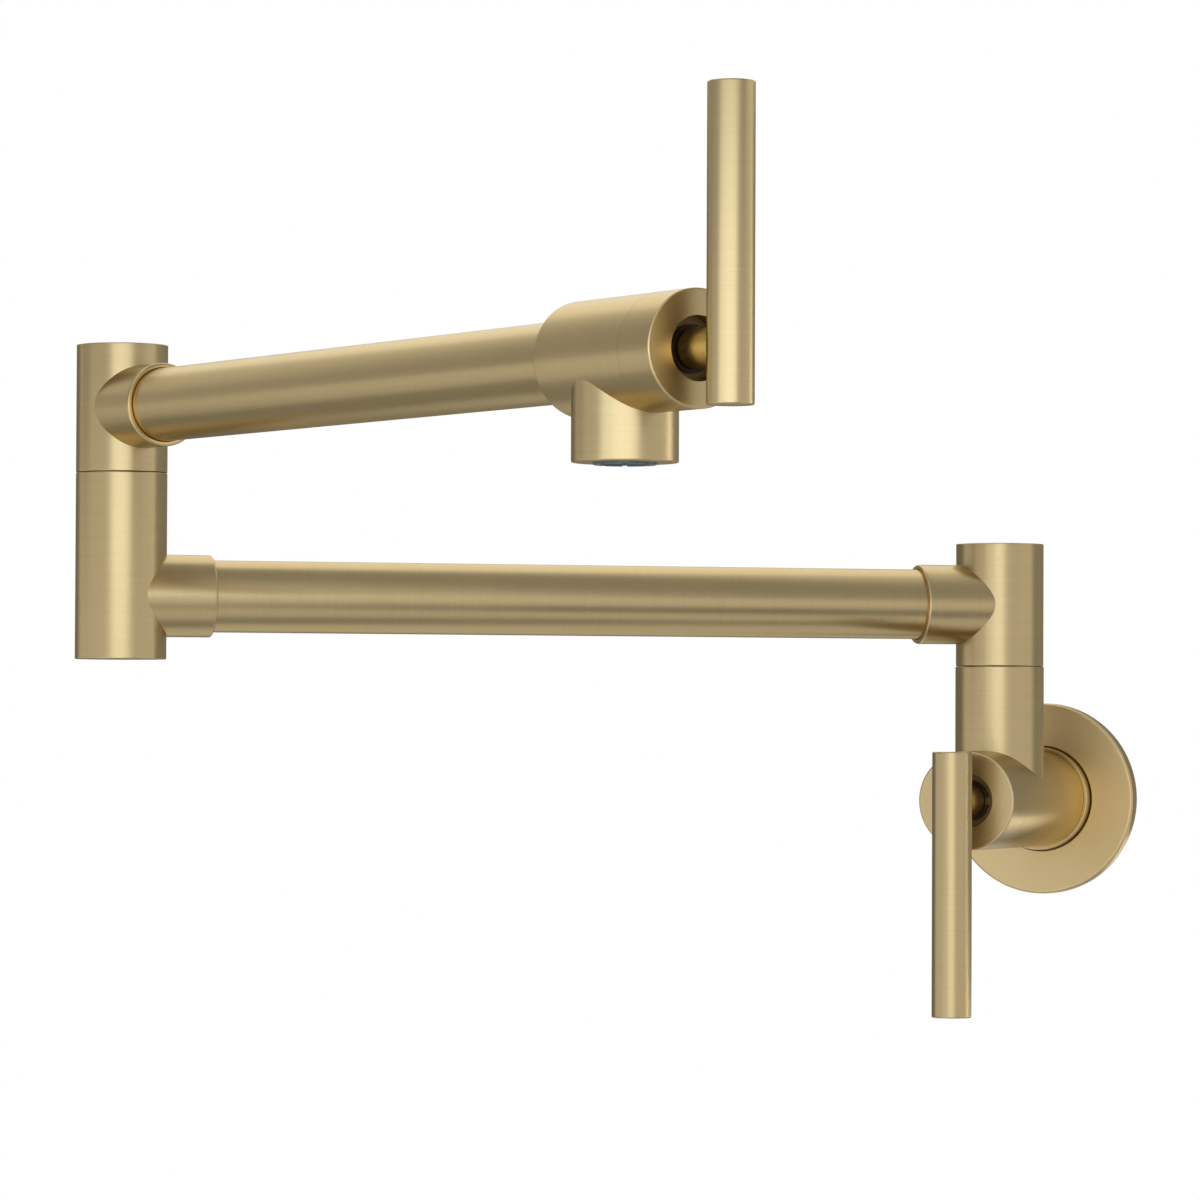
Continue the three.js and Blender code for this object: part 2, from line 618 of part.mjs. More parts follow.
function addValvePieces(group, name, leverTurn) {
  const front = addGroup(group, VALVE_FACE_REACH, 0, 0);
  front.rotation.y = Math.PI / 2;
  const kit = addGroup(front, 0, 0, 0, leverTurn);
  addPiece(kit, `${name}_valve_cap`, capGeometry(), 'satin_gold');
  addPiece(kit, `${name}_cartridge_body`, cartridgeGeometry(), 'bare_brass');
  const bodySeal = sealBetween(cartridgeBore, CARTRIDGE_SEAL_SECTION, -CARTRIDGE_SEAL_DEPTH);
  addPiece(kit, `${name}_cartridge_oring`, bodySeal, 'rubber');
  const seatSeal = ring(DISC_RADIUS - SEAL_WALL, DISC_RADIUS, seatPlane + GAP, sealTop, SMALL);
  addPiece(kit, `${name}_seat_seal`, seatSeal, 'rubber');
  addPiece(kit, `${name}_fixed_disc`, discGeometry(fixedDiscBottom, 0), 'ceramic');
  addPiece(kit, `${name}_moving_disc`, discGeometry(movingDiscBottom, Math.PI / 2, 0), 'ceramic');
  addPiece(kit, `${name}_spindle`, spindleGeometry(), 'bare_brass');
  const stemSeal = sealBetween(spindleBore, SPINDLE_SEAL_SECTION, -SPINDLE_SEAL_DEPTH);
  addPiece(kit, `${name}_spindle_oring`, stemSeal, 'rubber');
  const circlip = splitRing(circlipInside, circlipOutside, circlipBottom, CIRCLIP_THICKNESS);
  addPiece(kit, `${name}_circlip`, circlip, 'steel');
  addPiece(kit, `${name}_lever_hub`, hubGeometry(), 'satin_gold');
  addPiece(kit, `${name}_hub_screw`, hubScrewGeometry(), 'steel');
  addPiece(kit, `${name}_lever`, leverGeometry(), 'satin_gold');
}

// ---- Valve bodies --------------------------------------------------------------------------
// Frame: the valve's axis is X, the riser's or outlet's axis is Z, and they cross at the origin.

// The barrel from the threaded nose inside the cap back to its rear face, before boring.
function barrelProfile(rear) {
  const shoulder = VALVE_FACE_REACH - CAP_LENGTH - GAP;
  const nose = [[noseRadius, shoulder], [noseRadius, VALVE_FACE_REACH + noseFront]];
  return [...rear, [BARREL_RADIUS, shoulder], ...nose, [0, VALVE_FACE_REACH + noseFront]];
}

function cartridgeCavity() {
  return alongX(rod(cartridgeBore, -SEAT_SETBACK, VALVE_FACE_REACH, MEDIUM));
}

function inletValveBodyGeometry() {
  const rear = SLEEVE_LENGTH + GAP - WALL_TO_RISER;
  const barrel = alongX(turned(barrelProfile([[0, rear], [BARREL_RADIUS, rear]]), LARGE));
  const seam = LOWER_ARM_HEIGHT - ARM_TO_SEAM;
  const riser = rod(RISER_RADIUS, 0, seam - seamHalf, LARGE, COLUMN_EDGE);
  const branch = rod(columnWaterway, 0, seam, MEDIUM);
  const swivelSocket = swivelSocketTools().map((tool) => tool.translate(0, 0, seam));
  const waterway = alongX(rod(WATERWAY_RADIUS, rear, 0, MEDIUM));
  const adapterEnd = ADAPTER_LENGTH + GAP - WALL_TO_RISER;
  const adapterSocket = alongX(rod(ADAPTER_NOSE_RADIUS + GAP, rear - GAP, adapterEnd, MEDIUM));
  const tools = [cartridgeCavity(), branch, ...swivelSocket, waterway, adapterSocket];
  return cut(joined(barrel, riser), ...tools);
}

function outletValveBodyGeometry() {
  const rear = [[0, -VALVE_REAR_REACH], [BARREL_RADIUS - BARREL_EDGE, -VALVE_REAR_REACH]];
  rear.push([BARREL_RADIUS, BARREL_EDGE - VALVE_REAR_REACH]);
  const barrel = alongX(turned(barrelProfile(rear), LARGE));
  const outlet = rod(OUTLET_RADIUS, -OUTLET_DROP, 0, LARGE, OUTLET_EDGE);
  const tubeEnd = TUBE_VALVE_INSERTION + GAP - VALVE_REAR_REACH;
  const tubeSocket = alongX(rod(tubeSocketRadius, -VALVE_REAR_REACH - GAP, tubeEnd, MEDIUM));
  const waterway = alongX(rod(WATERWAY_RADIUS, -VALVE_REAR_REACH, 0, MEDIUM));
  const branch = rod(OUTLET_WATERWAY_RADIUS, -OUTLET_DROP, 0, MEDIUM);
  const socketTop = AERATOR_SOCKET_DEPTH - OUTLET_DROP;
  const aeratorSocket = rod(AERATOR_RADIUS + GAP, -OUTLET_DROP - GAP, socketTop, MEDIUM);
  const tools = [cartridgeCavity(), tubeSocket, waterway, branch, aeratorSocket];
  return cut(joined(barrel, outlet), ...tools);
}

// ---- Aerator -------------------------------------------------------------------------------
// Frame: the outlet's axis is Z, and z = 0 is the outlet valve's axis.

function addAerator(group) {
  const sealTopHeight = AERATOR_SOCKET_DEPTH - OUTLET_DROP - GAP;
  const sealBottom = sealTopHeight - AERATOR_SEAL_THICKNESS;
  const bore = AERATOR_RADIUS - AERATOR_WALL;
  addPiece(group, 'aerator_seal', ring(bore, AERATOR_RADIUS, sealBottom, sealTopHeight, MEDIUM), 'rubber');
  const bottom = -OUTLET_DROP - AERATOR_PROUD;
  const shelf = bottom + SCREEN_RECESS + SCREEN_THICKNESS + GAP;
  const shelfBore = bore - AERATOR_SHELF;
  const inside = [[shelfBore, sealBottom - GAP], [shelfBore, shelf], [bore, shelf]];
  const outside = [[bore, bottom], [AERATOR_RADIUS, bottom], [AERATOR_RADIUS, sealBottom - GAP]];
  const blank = turned([...outside, ...inside], MEDIUM);
  const notches = [];
  for (let i = 0; i < AERATOR_NOTCHES; i += 1) {
    const notch = new THREE.BoxGeometry(AERATOR_RADIUS, AERATOR_NOTCH_WIDTH, 2 * AERATOR_NOTCH_DEPTH);
    notch.translate(AERATOR_RADIUS, 0, bottom);
    notches.push(closed(notch.rotateZ((i * 2 * Math.PI) / AERATOR_NOTCHES)));
  }
  addPiece(group, 'aerator_insert', cut(blank, ...notches), 'grey_plastic');
  const screenBottom = bottom + SCREEN_RECESS;
  const screen = perforatedDisc(
    bore - GAP, screenBottom, SCREEN_THICKNESS, SCREEN_HOLE, SCREEN_PITCH, SCREEN_RINGS);
  addPiece(group, 'aerator_screen', screen, 'grey_plastic');
}

// ---- Assembly ------------------------------------------------------------------------------

const potFiller = new THREE.Group();

const wall = addGroup(potFiller, 0, 0, 0);
wall.rotation.x = Math.PI / 2;
addWallPieces(wall);
addInletFittings(wall);

const riserSeam = LOWER_ARM_HEIGHT - ARM_TO_SEAM;
const inletValve = addGroup(potFiller, 0, -WALL_TO_RISER, 0, -90);
addPiece(inletValve, 'inlet_valve_body', inletValveBodyGeometry(), 'satin_gold');
addValvePieces(inletValve, 'inlet', 0);
addSwivelBasePieces(addGroup(inletValve, 0, 0, riserSeam), 'riser');

const lowerArm = addGroup(potFiller, 0, -WALL_TO_RISER, LOWER_ARM_HEIGHT, LOWER_ARM_HEADING);
addPiece(lowerArm, 'riser_head', headGeometry(), 'satin_gold');
addSwivelHeadPieces(addGroup(lowerArm, 0, 0, -ARM_TO_SEAM), 'riser');
addTube(lowerArm, 'lower_arm', ARM_LENGTH - tubeStart);
const elbow = addGroup(lowerArm, ARM_LENGTH, 0, 0, 180);
addPiece(elbow, 'elbow_base', elbowBaseGeometry(), 'satin_gold');
addSwivelBasePieces(addGroup(elbow, 0, 0, ARM_RISE - ARM_TO_SEAM), 'elbow');

const upperTurn = UPPER_ARM_HEADING - LOWER_ARM_HEADING;
const upperArm = addGroup(lowerArm, ARM_LENGTH, 0, ARM_RISE, upperTurn);
addPiece(upperArm, 'elbow_head', headGeometry(), 'satin_gold');
addSwivelHeadPieces(addGroup(upperArm, 0, 0, -ARM_TO_SEAM), 'elbow');
addTube(upperArm, 'upper_arm', ARM_LENGTH - VALVE_REAR_REACH + TUBE_VALVE_INSERTION);
const outletValve = addGroup(upperArm, ARM_LENGTH, 0, 0);
addPiece(outletValve, 'outlet_valve_body', outletValveBodyGeometry(), 'satin_gold');
addValvePieces(outletValve, 'outlet', 180);
addAerator(outletValve);

export default potFiller;
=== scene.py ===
# Wall-mounted pot filler in satin gold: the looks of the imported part, section by section in the
# order in which the tap goes together from the wall outwards. Profiles are in millimetres, as on
# a workshop drawing, and MM turns them into the frame's metres.

import json
import math

import bpy
from mathutils import Euler, Matrix, Quaternion, Vector


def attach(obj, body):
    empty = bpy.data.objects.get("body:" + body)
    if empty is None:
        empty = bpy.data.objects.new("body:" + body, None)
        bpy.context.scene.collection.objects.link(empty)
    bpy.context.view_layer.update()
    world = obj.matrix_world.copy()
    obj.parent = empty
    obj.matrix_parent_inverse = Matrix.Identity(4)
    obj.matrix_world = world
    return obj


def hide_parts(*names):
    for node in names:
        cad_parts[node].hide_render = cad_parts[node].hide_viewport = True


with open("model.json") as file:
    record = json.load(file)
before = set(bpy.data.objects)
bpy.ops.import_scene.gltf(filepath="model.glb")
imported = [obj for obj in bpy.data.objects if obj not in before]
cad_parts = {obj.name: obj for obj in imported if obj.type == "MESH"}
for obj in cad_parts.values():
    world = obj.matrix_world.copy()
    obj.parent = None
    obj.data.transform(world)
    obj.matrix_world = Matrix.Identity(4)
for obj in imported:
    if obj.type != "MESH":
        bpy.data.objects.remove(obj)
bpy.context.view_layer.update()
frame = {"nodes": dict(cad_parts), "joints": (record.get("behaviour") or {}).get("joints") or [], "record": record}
MM = 0.001

# ---- Wall flange -------------------------------------------------------------
# A spun brass disc that covers the hole in the wall. Its front edge is rounded, its back is
# hollow, and it slides on the sleeve until its rim meets the wall. Satin gold, brushed on a
# lathe, so that the grain runs round the axis. Its face has a lighter copy of that gold as
# painted light, and the inside of its hole is brass darkened as painted shade.

ROUND = 192  # sides of a large turned piece
WELD = 0.0005  # how close two points have to be to become one, in mm like all sizes here
CORNER_STEPS = 5  # facets of a rounded corner
BAND = 0.1  # the narrow flat beside a rounded corner, which keeps the shading of wide faces even
SHARP_ANGLE = math.radians(24)  # from here on an edge between two faces is a real edge
FLANGE_HOLE = 17.6
FLANGE_HOLE_EDGE = 0.2
FLANGE_LIP = 17.3
FLANGE_LIP_FRONT = 4.4
FLANGE_LIP_BACK = 0.6
FLANGE_ROUGHNESS = 0.42
# painted light: the flange's gold is a lighter copy of the satin gold of the other pieces
FLANGE_BRIGHTENED_LIGHT = (0.60, 0.465, 0.245, 1)
FLANGE_BRIGHTENED_DARK = (0.50, 0.387, 0.204, 1)
FLANGE_RADIUS = 31.9
FLANGE_THICKNESS = 5.0
FLANGE_PLATE = 2.1
FLANGE_RIM = 2.5
FLANGE_EDGE = 0.9
SIDE_MARGIN = 0.03  # the middle of a flat facet lies this much inside the round, at most
WALL = Vector((0, 0, 0))
TO_ROOM = Vector((0, -1, 0))


class Wire:
    """A shader socket. Arithmetic on it adds the Math nodes that the expression needs."""

    def __init__(self, tree, socket):
        self.tree = tree
        self.socket = socket

    def maths(self, operation, other):
        settings = {"operation": operation}
        return new_node(self.tree, "ShaderNodeMath", settings, {0: self, 1: other})

    def __add__(self, other):
        return self.maths("ADD", other)

    def __sub__(self, other):
        return self.maths("SUBTRACT", other)

    def __mul__(self, other):
        return self.maths("MULTIPLY", other)

    __radd__ = __add__
    __rmul__ = __mul__


def new_node(tree, kind, settings=None, sockets=None, output=0):
    """Adds a node of a kind, with its settings set first and then its sockets' values or wires."""
    node = tree.nodes.new(kind)
    for name, value in (settings or {}).items():
        setattr(node, name, value)
    for name, value in (sockets or {}).items():
        if isinstance(value, Wire):
            tree.links.new(value.socket, node.inputs[name])
        else:
            node.inputs[name].default_value = value
    return Wire(tree, node.outputs[output]) if node.outputs else None


def blank_material(name):
    """A material with nothing but its output, and the tree that it is built in."""
    material = bpy.data.materials.new(name)
    material.use_nodes = True
    tree = material.node_tree
    tree.nodes.clear()
    return material, tree


def mixed(tree, share, first, second):
    """The first colour where the share is 0, the second where it is 1, and blends between."""
    sockets = {0: share, 6: first, 7: second}  # by number, as a Mix node has several A and B
    return new_node(tree, "ShaderNodeMix", {"data_type": "RGBA"}, sockets, 2)


def bumped(tree, height, strength, depth):
    """The normal of a surface whose relief is that many mm deep."""
    sockets = {"Strength": strength, "Distance": depth * MM, "Height": height}
    return new_node(tree, "ShaderNodeBump", {}, sockets)


def surface(tree, colour, roughness, normal, metallic=1.0, more=None):
    """Ends a material in one Principled shader."""
    sockets = {"Base Color": colour, "Metallic": metallic, "Roughness": roughness, "Normal": normal}
    shader = new_node(tree, "ShaderNodeBsdfPrincipled", {}, sockets | (more or {}))
    new_node(tree, "ShaderNodeOutputMaterial", {}, {"Surface": shader})


def object_place(tree):
    """Where a point is on the piece itself, in metres."""
    return new_node(tree, "ShaderNodeTexCoord", {}, {}, "Object")


def lathe_place(tree, centre, axis):
    """Coordinates in mm on a lathe's spindle: x and y across it, and the track, which grows both
    along the axis and outwards, so that it is the same all round a turned cut."""
    turn = axis.to_track_quat("Z", "Y").to_euler()
    sockets = {"Vector": object_place(tree), "Location": centre, "Rotation": turn}
    sockets["Scale"] = (MM, MM, MM)
    local = new_node(tree, "ShaderNodeMapping", {"vector_type": "TEXTURE"}, sockets)
    parts = [new_node(tree, "ShaderNodeSeparateXYZ", {}, {0: local}, i) for i in range(3)]
    flat = new_node(tree, "ShaderNodeCombineXYZ", {}, {"X": parts[0], "Y": parts[1]})
    radius = new_node(tree, "ShaderNodeVectorMath", {"operation": "LENGTH"}, {0: flat}, 1)
    return parts[0], parts[1], parts[2] + radius


def streaks(tree, place, size):
    """Lines round the axis, of about that length and width in mm, as a value from 0 to 1."""
    x, y, track = place
    length, width = size
    sockets = {"X": x * (1 / length), "Y": y * (1 / length), "Z": track * (1 / width)}
    vector = new_node(tree, "ShaderNodeCombineXYZ", {}, sockets)
    return new_node(tree, "ShaderNodeTexNoise", {}, {"Vector": vector, "Scale": 1.0, "Detail": 2.0})


GOLD_LIGHT = (0.504, 0.391, 0.207, 1)
GOLD_DARK = (0.401, 0.310, 0.164, 1)
GOLD_EDGE_TINT = (0.88, 0.83, 0.70, 1)  # the metal keeps some of its colour at a glancing angle
GOLD_PAINTED_REFLECTION = (0.68, 0.50, 0.21, 1)  # painted reflection where gold faces gold
GOLD_ROUGHNESS = 0.30
GOLD_RELIEF = 0.17
HAIRLINE_DEPTH = 0.06
FINE_LINES = (9.0, 0.12)  # length and width of the brush's lines
COARSE_LINES = (26.0, 0.7)
CLOUDS = (22.0, 22.0)


def satin_gold(
        name, centre, axis, base_roughness=GOLD_ROUGHNESS, deep=None,
        light=GOLD_LIGHT, dark=GOLD_DARK):
    """Satin gold over brass, brushed round an axis: hairlines of two widths under a faint cloud.
    The two values of deep are the track where the colour starts to deepen into a painted
    reflection and where it is deep."""
    material, tree = blank_material(name)
    place = lathe_place(tree, centre, axis)
    fine = streaks(tree, place, FINE_LINES)
    coarse = streaks(tree, place, COARSE_LINES)
    cloud = streaks(tree, place, CLOUDS)
    colour = mixed(tree, 0.3 * fine + 0.45 * coarse + 0.25 * cloud, dark, light)
    # painted reflection: along the track the colour blends into a richer gold
    if deep:
        start, end = deep
        share = new_node(tree, "ShaderNodeMapRange", {}, {0: place[2], 1: start, 2: end})
        colour = mixed(tree, share, colour, GOLD_PAINTED_REFLECTION)
    roughness = base_roughness + 0.05 * (fine - 0.5) + 0.06 * (cloud - 0.5)
    normal = bumped(tree, 0.6 * fine + 0.4 * coarse, GOLD_RELIEF, HAIRLINE_DEPTH)
    surface(tree, colour, roughness, normal, more={"Specular Tint": GOLD_EDGE_TINT})
    return material


def picked(piece):
    """Makes a piece the only one that the next operators work on."""
    bpy.ops.object.select_all(action="DESELECT")
    piece.select_set(True)
    bpy.context.view_layer.objects.active = piece
    return piece


def turned(name, profile, material=None, solid=False, sides=ROUND):
    """Turns a piece about Z from (radius, height) points in mm, each ring extruded from the last.
    A solid starts and ends in a flat disc, and any other profile closes on itself."""
    bpy.ops.object.select_all(action="DESELECT")
    radius, height = profile[0]
    fill = "NGON" if solid else "NOTHING"
    bpy.ops.mesh.primitive_circle_add(vertices=sides, radius=radius * MM, fill_type=fill)
    piece = bpy.context.object
    piece.name = name
    bpy.ops.object.mode_set(mode="EDIT")
    bpy.ops.mesh.select_all(action="SELECT")
    bpy.ops.transform.translate(value=(0, 0, height * MM))
    points = profile[1:] if solid else profile[1:] + profile[:1]
    for next_radius, next_height in points:
        rise = (next_height - height) * MM
        bpy.ops.mesh.extrude_region_move(TRANSFORM_OT_translate={"value": (0, 0, rise)})
        share = next_radius / radius
        middle = (0, 0, next_height * MM)
        bpy.ops.transform.resize(value=(share, share, 1), center_override=middle)
        radius, height = next_radius, next_height
    bpy.ops.mesh.select_all(action="SELECT")
    bpy.ops.mesh.remove_doubles(threshold=WELD * MM)
    bpy.ops.mesh.normals_make_consistent(inside=False)
    bpy.ops.object.mode_set(mode="OBJECT")
    if material:
        piece.data.materials.append(material)
    return piece


def quarter(radius, height, edge, start):
    """Points of a quarter round of that edge radius about its centre, from an angle in degrees."""
    angles = [math.radians(start + 90 * i / CORNER_STEPS) for i in range(CORNER_STEPS + 1)]
    return [(radius + edge * math.cos(a), height + edge * math.sin(a)) for a in angles]


def top_corner(radius, height, edge):
    """A rounded corner at a radius and height, upwards and inwards, with a band on each side."""
    flat, side = radius - edge, height - edge
    return [(radius, side - BAND)] + quarter(flat, side, edge, 0) + [(flat - BAND, height)]


def bottom_corner(radius, height, edge):
    """The same at the bottom of a piece, outwards and upwards."""
    flat, side = radius - edge, height + edge
    return [(flat - BAND, height)] + quarter(flat, side, edge, -90) + [(radius, side + BAND)]


def laid(piece, place, axis, side=None):
    """Stands a piece's Z along an axis at a place, with its X along a side where that matters,
    and leaves the object itself at the origin."""
    turn = axis.to_track_quat("Z", "Y")
    if side:
        turn = Matrix((side, axis.cross(side), axis)).transposed().to_quaternion()
    piece.location = place
    piece.rotation_mode = "QUATERNION"
    piece.rotation_quaternion = turn
    picked(piece)
    bpy.ops.object.transform_apply(location=True, rotation=True, scale=True)
    return piece


def polished(piece, *materials):
    """Gives a piece its materials, where it has none yet, and smooths all but its real edges."""
    for material in materials:
        piece.data.materials.append(material)
    picked(piece)
    bpy.ops.object.shade_smooth_by_angle(angle=SHARP_ANGLE)
    return piece


TOOL_MARKS = 26.0  # radians of the lathe's wave in a mm, which is about four marks
TOOL_MARK_DEPTH = 0.03
TOOL_MARK_RELIEF = 0.2
HAZE = (14.0, 3.0)  # length and width of its patches


def bare_metal(name, centre, axis, light, dark, roughness):
    """Metal as the lathe left it: regular tool marks round the axis under a duller haze."""
    material, tree = blank_material(name)
    place = lathe_place(tree, centre, axis)
    marks = {0: place[2] * TOOL_MARKS}
    wave = new_node(tree, "ShaderNodeMath", {"operation": "SINE"}, marks)
    haze = streaks(tree, place, HAZE)
    colour = mixed(tree, 0.15 * wave + 0.9 * haze, dark, light)
    normal = bumped(tree, wave, TOOL_MARK_RELIEF, TOOL_MARK_DEPTH)
    surface(tree, colour, roughness + 0.1 * (haze - 0.5), normal)
    return material


# painted shade: a dark brass that stands in for the shade in gaps and deep openings
PAINTED_SHADE_BRASS_LIGHT = (0.20, 0.14, 0.065, 1)
PAINTED_SHADE_BRASS_DARK = (0.12, 0.08, 0.033, 1)
PAINTED_SHADE_BRASS_ROUGHNESS = 0.5


def painted_shade_brass(name, centre, axis):
    """Unplated brass, darkened as painted shade, for gaps and round cartridges."""
    return bare_metal(name, centre, axis, PAINTED_SHADE_BRASS_LIGHT, PAINTED_SHADE_BRASS_DARK, PAINTED_SHADE_BRASS_ROUGHNESS)


def refaced(piece, material, chosen):
    """Gives one more finish to the faces whose centre, in mm, is one of those chosen."""
    piece.data.materials.append(material)
    for face in piece.data.polygons:
        if chosen(face.center / MM):
            face.material_index = len(piece.data.materials) - 1


gold_at_wall = satin_gold("satin_gold_wall", WALL, TO_ROOM)
brightened_gold_on_flange = satin_gold(
    "satin_gold_flange", WALL, TO_ROOM, FLANGE_ROUGHNESS, light=FLANGE_BRIGHTENED_LIGHT, dark=FLANGE_BRIGHTENED_DARK)
painted_shade_brass_at_wall = painted_shade_brass("painted_shade_brass_wall", WALL, TO_ROOM)

hollow = FLANGE_THICKNESS - FLANGE_PLATE
rim_inside = FLANGE_RADIUS - FLANGE_RIM
hub_outside = FLANGE_HOLE + FLANGE_RIM
flange_profile = [(FLANGE_HOLE, FLANGE_LIP_FRONT), (FLANGE_LIP, FLANGE_LIP_FRONT)]
flange_profile += [(FLANGE_LIP, FLANGE_LIP_BACK), (hub_outside, FLANGE_LIP_BACK)]
flange_profile += [(hub_outside, hollow), (rim_inside, hollow), (rim_inside, 0), (FLANGE_RADIUS, 0)]
flange_profile += top_corner(FLANGE_RADIUS, FLANGE_THICKNESS, FLANGE_EDGE)
flange_profile += [(FLANGE_HOLE + FLANGE_HOLE_EDGE, FLANGE_THICKNESS)]
flange_profile += [(FLANGE_HOLE, FLANGE_THICKNESS - FLANGE_HOLE_EDGE)]
flange = polished(laid(turned("flange_disc", flange_profile), WALL, TO_ROOM), brightened_gold_on_flange)
# painted shade: the inside of the flange's hole is darkened brass
refaced(flange, painted_shade_brass_at_wall, lambda at: math.hypot(at.x, at.z) < FLANGE_HOLE + SIDE_MARGIN)
# the rim's side keeps the plain satin gold, without the face's painted light
refaced(flange, gold_at_wall, lambda at: math.hypot(at.x, at.z) > FLANGE_RADIUS - SIDE_MARGIN)
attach(flange, "wall_side")
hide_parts("wall_flange")

# ---- Flange gasket -----------------------------------------------------------
# A flat ring of black rubber in the hollow back of the flange. It lies against the wall and is
# pressed there by the flange, with nothing else to hold it.

RUBBER_LIGHT, RUBBER_DARK = (0.036, 0.036, 0.038, 1), (0.028, 0.028, 0.03, 1)
GRAIN_RELIEF = 0.25
GASKET_WIDTH = 8.0
PIECE_GAP = 0.3  # between pieces that lie in one another, so that none touch


def matt(name, light, dark, roughness, grain, relief):
    """A plain finish whose tone, gloss and surface wander a little. The size of its grain and the
    depth of its relief are in mm."""
    material, tree = blank_material(name)
    place = object_place(tree)
    scale = 1 / (grain * MM)
    sockets = {"Vector": place, "Scale": scale, "Detail": 3.0}
    noise = new_node(tree, "ShaderNodeTexNoise", {}, sockets)
    wide = new_node(tree, "ShaderNodeTexNoise", {}, {"Vector": place, "Scale": scale / 12})
    colour = mixed(tree, 0.5 * noise + 0.5 * wide, dark, light)
    gloss = roughness + 0.12 * (noise - 0.5) + 0.06 * (wide - 0.5)
    surface(tree, colour, gloss, bumped(tree, noise, GRAIN_RELIEF, relief), metallic=0.0)
    return material


rubber = matt("black_rubber", RUBBER_LIGHT, RUBBER_DARK, roughness=0.62, grain=0.35, relief=0.03)
gasket_outside = rim_inside - PIECE_GAP
gasket_inside = gasket_outside - GASKET_WIDTH
gasket_top = hollow - PIECE_GAP
gasket_profile = [(gasket_inside, 0), (gasket_outside, 0), (gasket_outside, gasket_top)]
gasket_profile += [(gasket_inside, gasket_top)]
gasket = polished(laid(turned("gasket_ring", gasket_profile), WALL, TO_ROOM), rubber)
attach(gasket, "wall_side")
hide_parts("flange_gasket")

# ---- Flange sleeve -----------------------------------------------------------
# The plain ring that the flange slides on. It is screwed onto the rear end of the adapter, has
# a groove for the O-ring that grips the flange, and shows as a narrow bright face.

SLEEVE_RADIUS = 17.25
SLEEVE_LENGTH = 8.8
SLEEVE_BORE = 14.3
SLEEVE_EDGE = 0.35
GROOVE_HALF = 1.05
GROOVE_FLOOR = 15.8
SLEEVE_PAINTED_REFLECTION = (30, 26)  # tracks where its gold deepens into a painted reflection

middle = FLANGE_THICKNESS / 2
sleeve_profile = [(SLEEVE_BORE, 0), (SLEEVE_RADIUS, 0), (SLEEVE_RADIUS, middle - GROOVE_HALF)]
sleeve_profile += [(GROOVE_FLOOR, middle - GROOVE_HALF), (GROOVE_FLOOR, middle + GROOVE_HALF)]
sleeve_profile += [(SLEEVE_RADIUS, middle + GROOVE_HALF), (SLEEVE_RADIUS, FLANGE_THICKNESS)]
sleeve_profile += top_corner(SLEEVE_RADIUS, SLEEVE_LENGTH, SLEEVE_EDGE)
sleeve_profile += [(SLEEVE_BORE, SLEEVE_LENGTH)]
gold_with_painted_reflection = satin_gold("satin_gold_sleeve", WALL, TO_ROOM, deep=SLEEVE_PAINTED_REFLECTION)
sleeve = polished(laid(turned("sleeve_ring", sleeve_profile), WALL, TO_ROOM), gold_at_wall)
# painted shade: the sleeve's faces inside the flange's hole are darkened brass
refaced(sleeve, painted_shade_brass_at_wall, lambda at: -at.y < FLANGE_THICKNESS)
# painted reflection: the sleeve's side beyond the flange is a richer gold
refaced(sleeve, gold_with_painted_reflection, lambda at: FLANGE_THICKNESS < -at.y < SLEEVE_LENGTH - SLEEVE_EDGE)
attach(sleeve, "wall_side")
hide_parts("flange_sleeve")

# ---- Inlet adapter -----------------------------------------------------------
# A turned brass union with no plating. Its rear end takes the supply nipple and carries the
# sleeve, and its narrower nose is screwed into the back of the valve barrel.

ADAPTER_RADIUS = 14.0
ADAPTER_NOSE_RADIUS = 12.0
ADAPTER_LENGTH = 22.0
ADAPTER_EDGE = 0.3
INLET_RADIUS = 9.3
INLET_DEPTH = 18.0
WATERWAY_RADIUS = 7.0
BRASS_LIGHT = (0.62, 0.45, 0.19, 1)
BRASS_DARK = (0.48, 0.33, 0.12, 1)
BRASS_ROUGHNESS = 0.32


def bare_brass(name, centre, axis):
    """Turned brass with no plating, as on the inside of the tap."""
    return bare_metal(name, centre, axis, BRASS_LIGHT, BRASS_DARK, BRASS_ROUGHNESS)


brass_at_wall = bare_brass("bare_brass_wall", WALL, TO_ROOM)
adapter_profile = [(INLET_RADIUS, ADAPTER_EDGE), (INLET_RADIUS + ADAPTER_EDGE, 0)]
adapter_profile += [(ADAPTER_RADIUS - ADAPTER_EDGE, 0), (ADAPTER_RADIUS, ADAPTER_EDGE)]
adapter_profile += [(ADAPTER_RADIUS, SLEEVE_LENGTH), (ADAPTER_NOSE_RADIUS, SLEEVE_LENGTH)]
adapter_profile += [(ADAPTER_NOSE_RADIUS, ADAPTER_LENGTH), (WATERWAY_RADIUS, ADAPTER_LENGTH)]
adapter_profile += [(WATERWAY_RADIUS, INLET_DEPTH), (INLET_RADIUS, INLET_DEPTH)]
adapter = polished(laid(turned("inlet_union", adapter_profile), WALL, TO_ROOM), brass_at_wall)
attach(adapter, "wall_side")
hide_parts("inlet_adapter")

# ---- Inlet valve body --------------------------------------------------------
# One brass forging: a barrel with the fixed riser standing on it. Turned and brushed outside,
# bored inside for the adapter, the waterway, the cartridge and the swivel's spigot, and left as
# bare brass there.

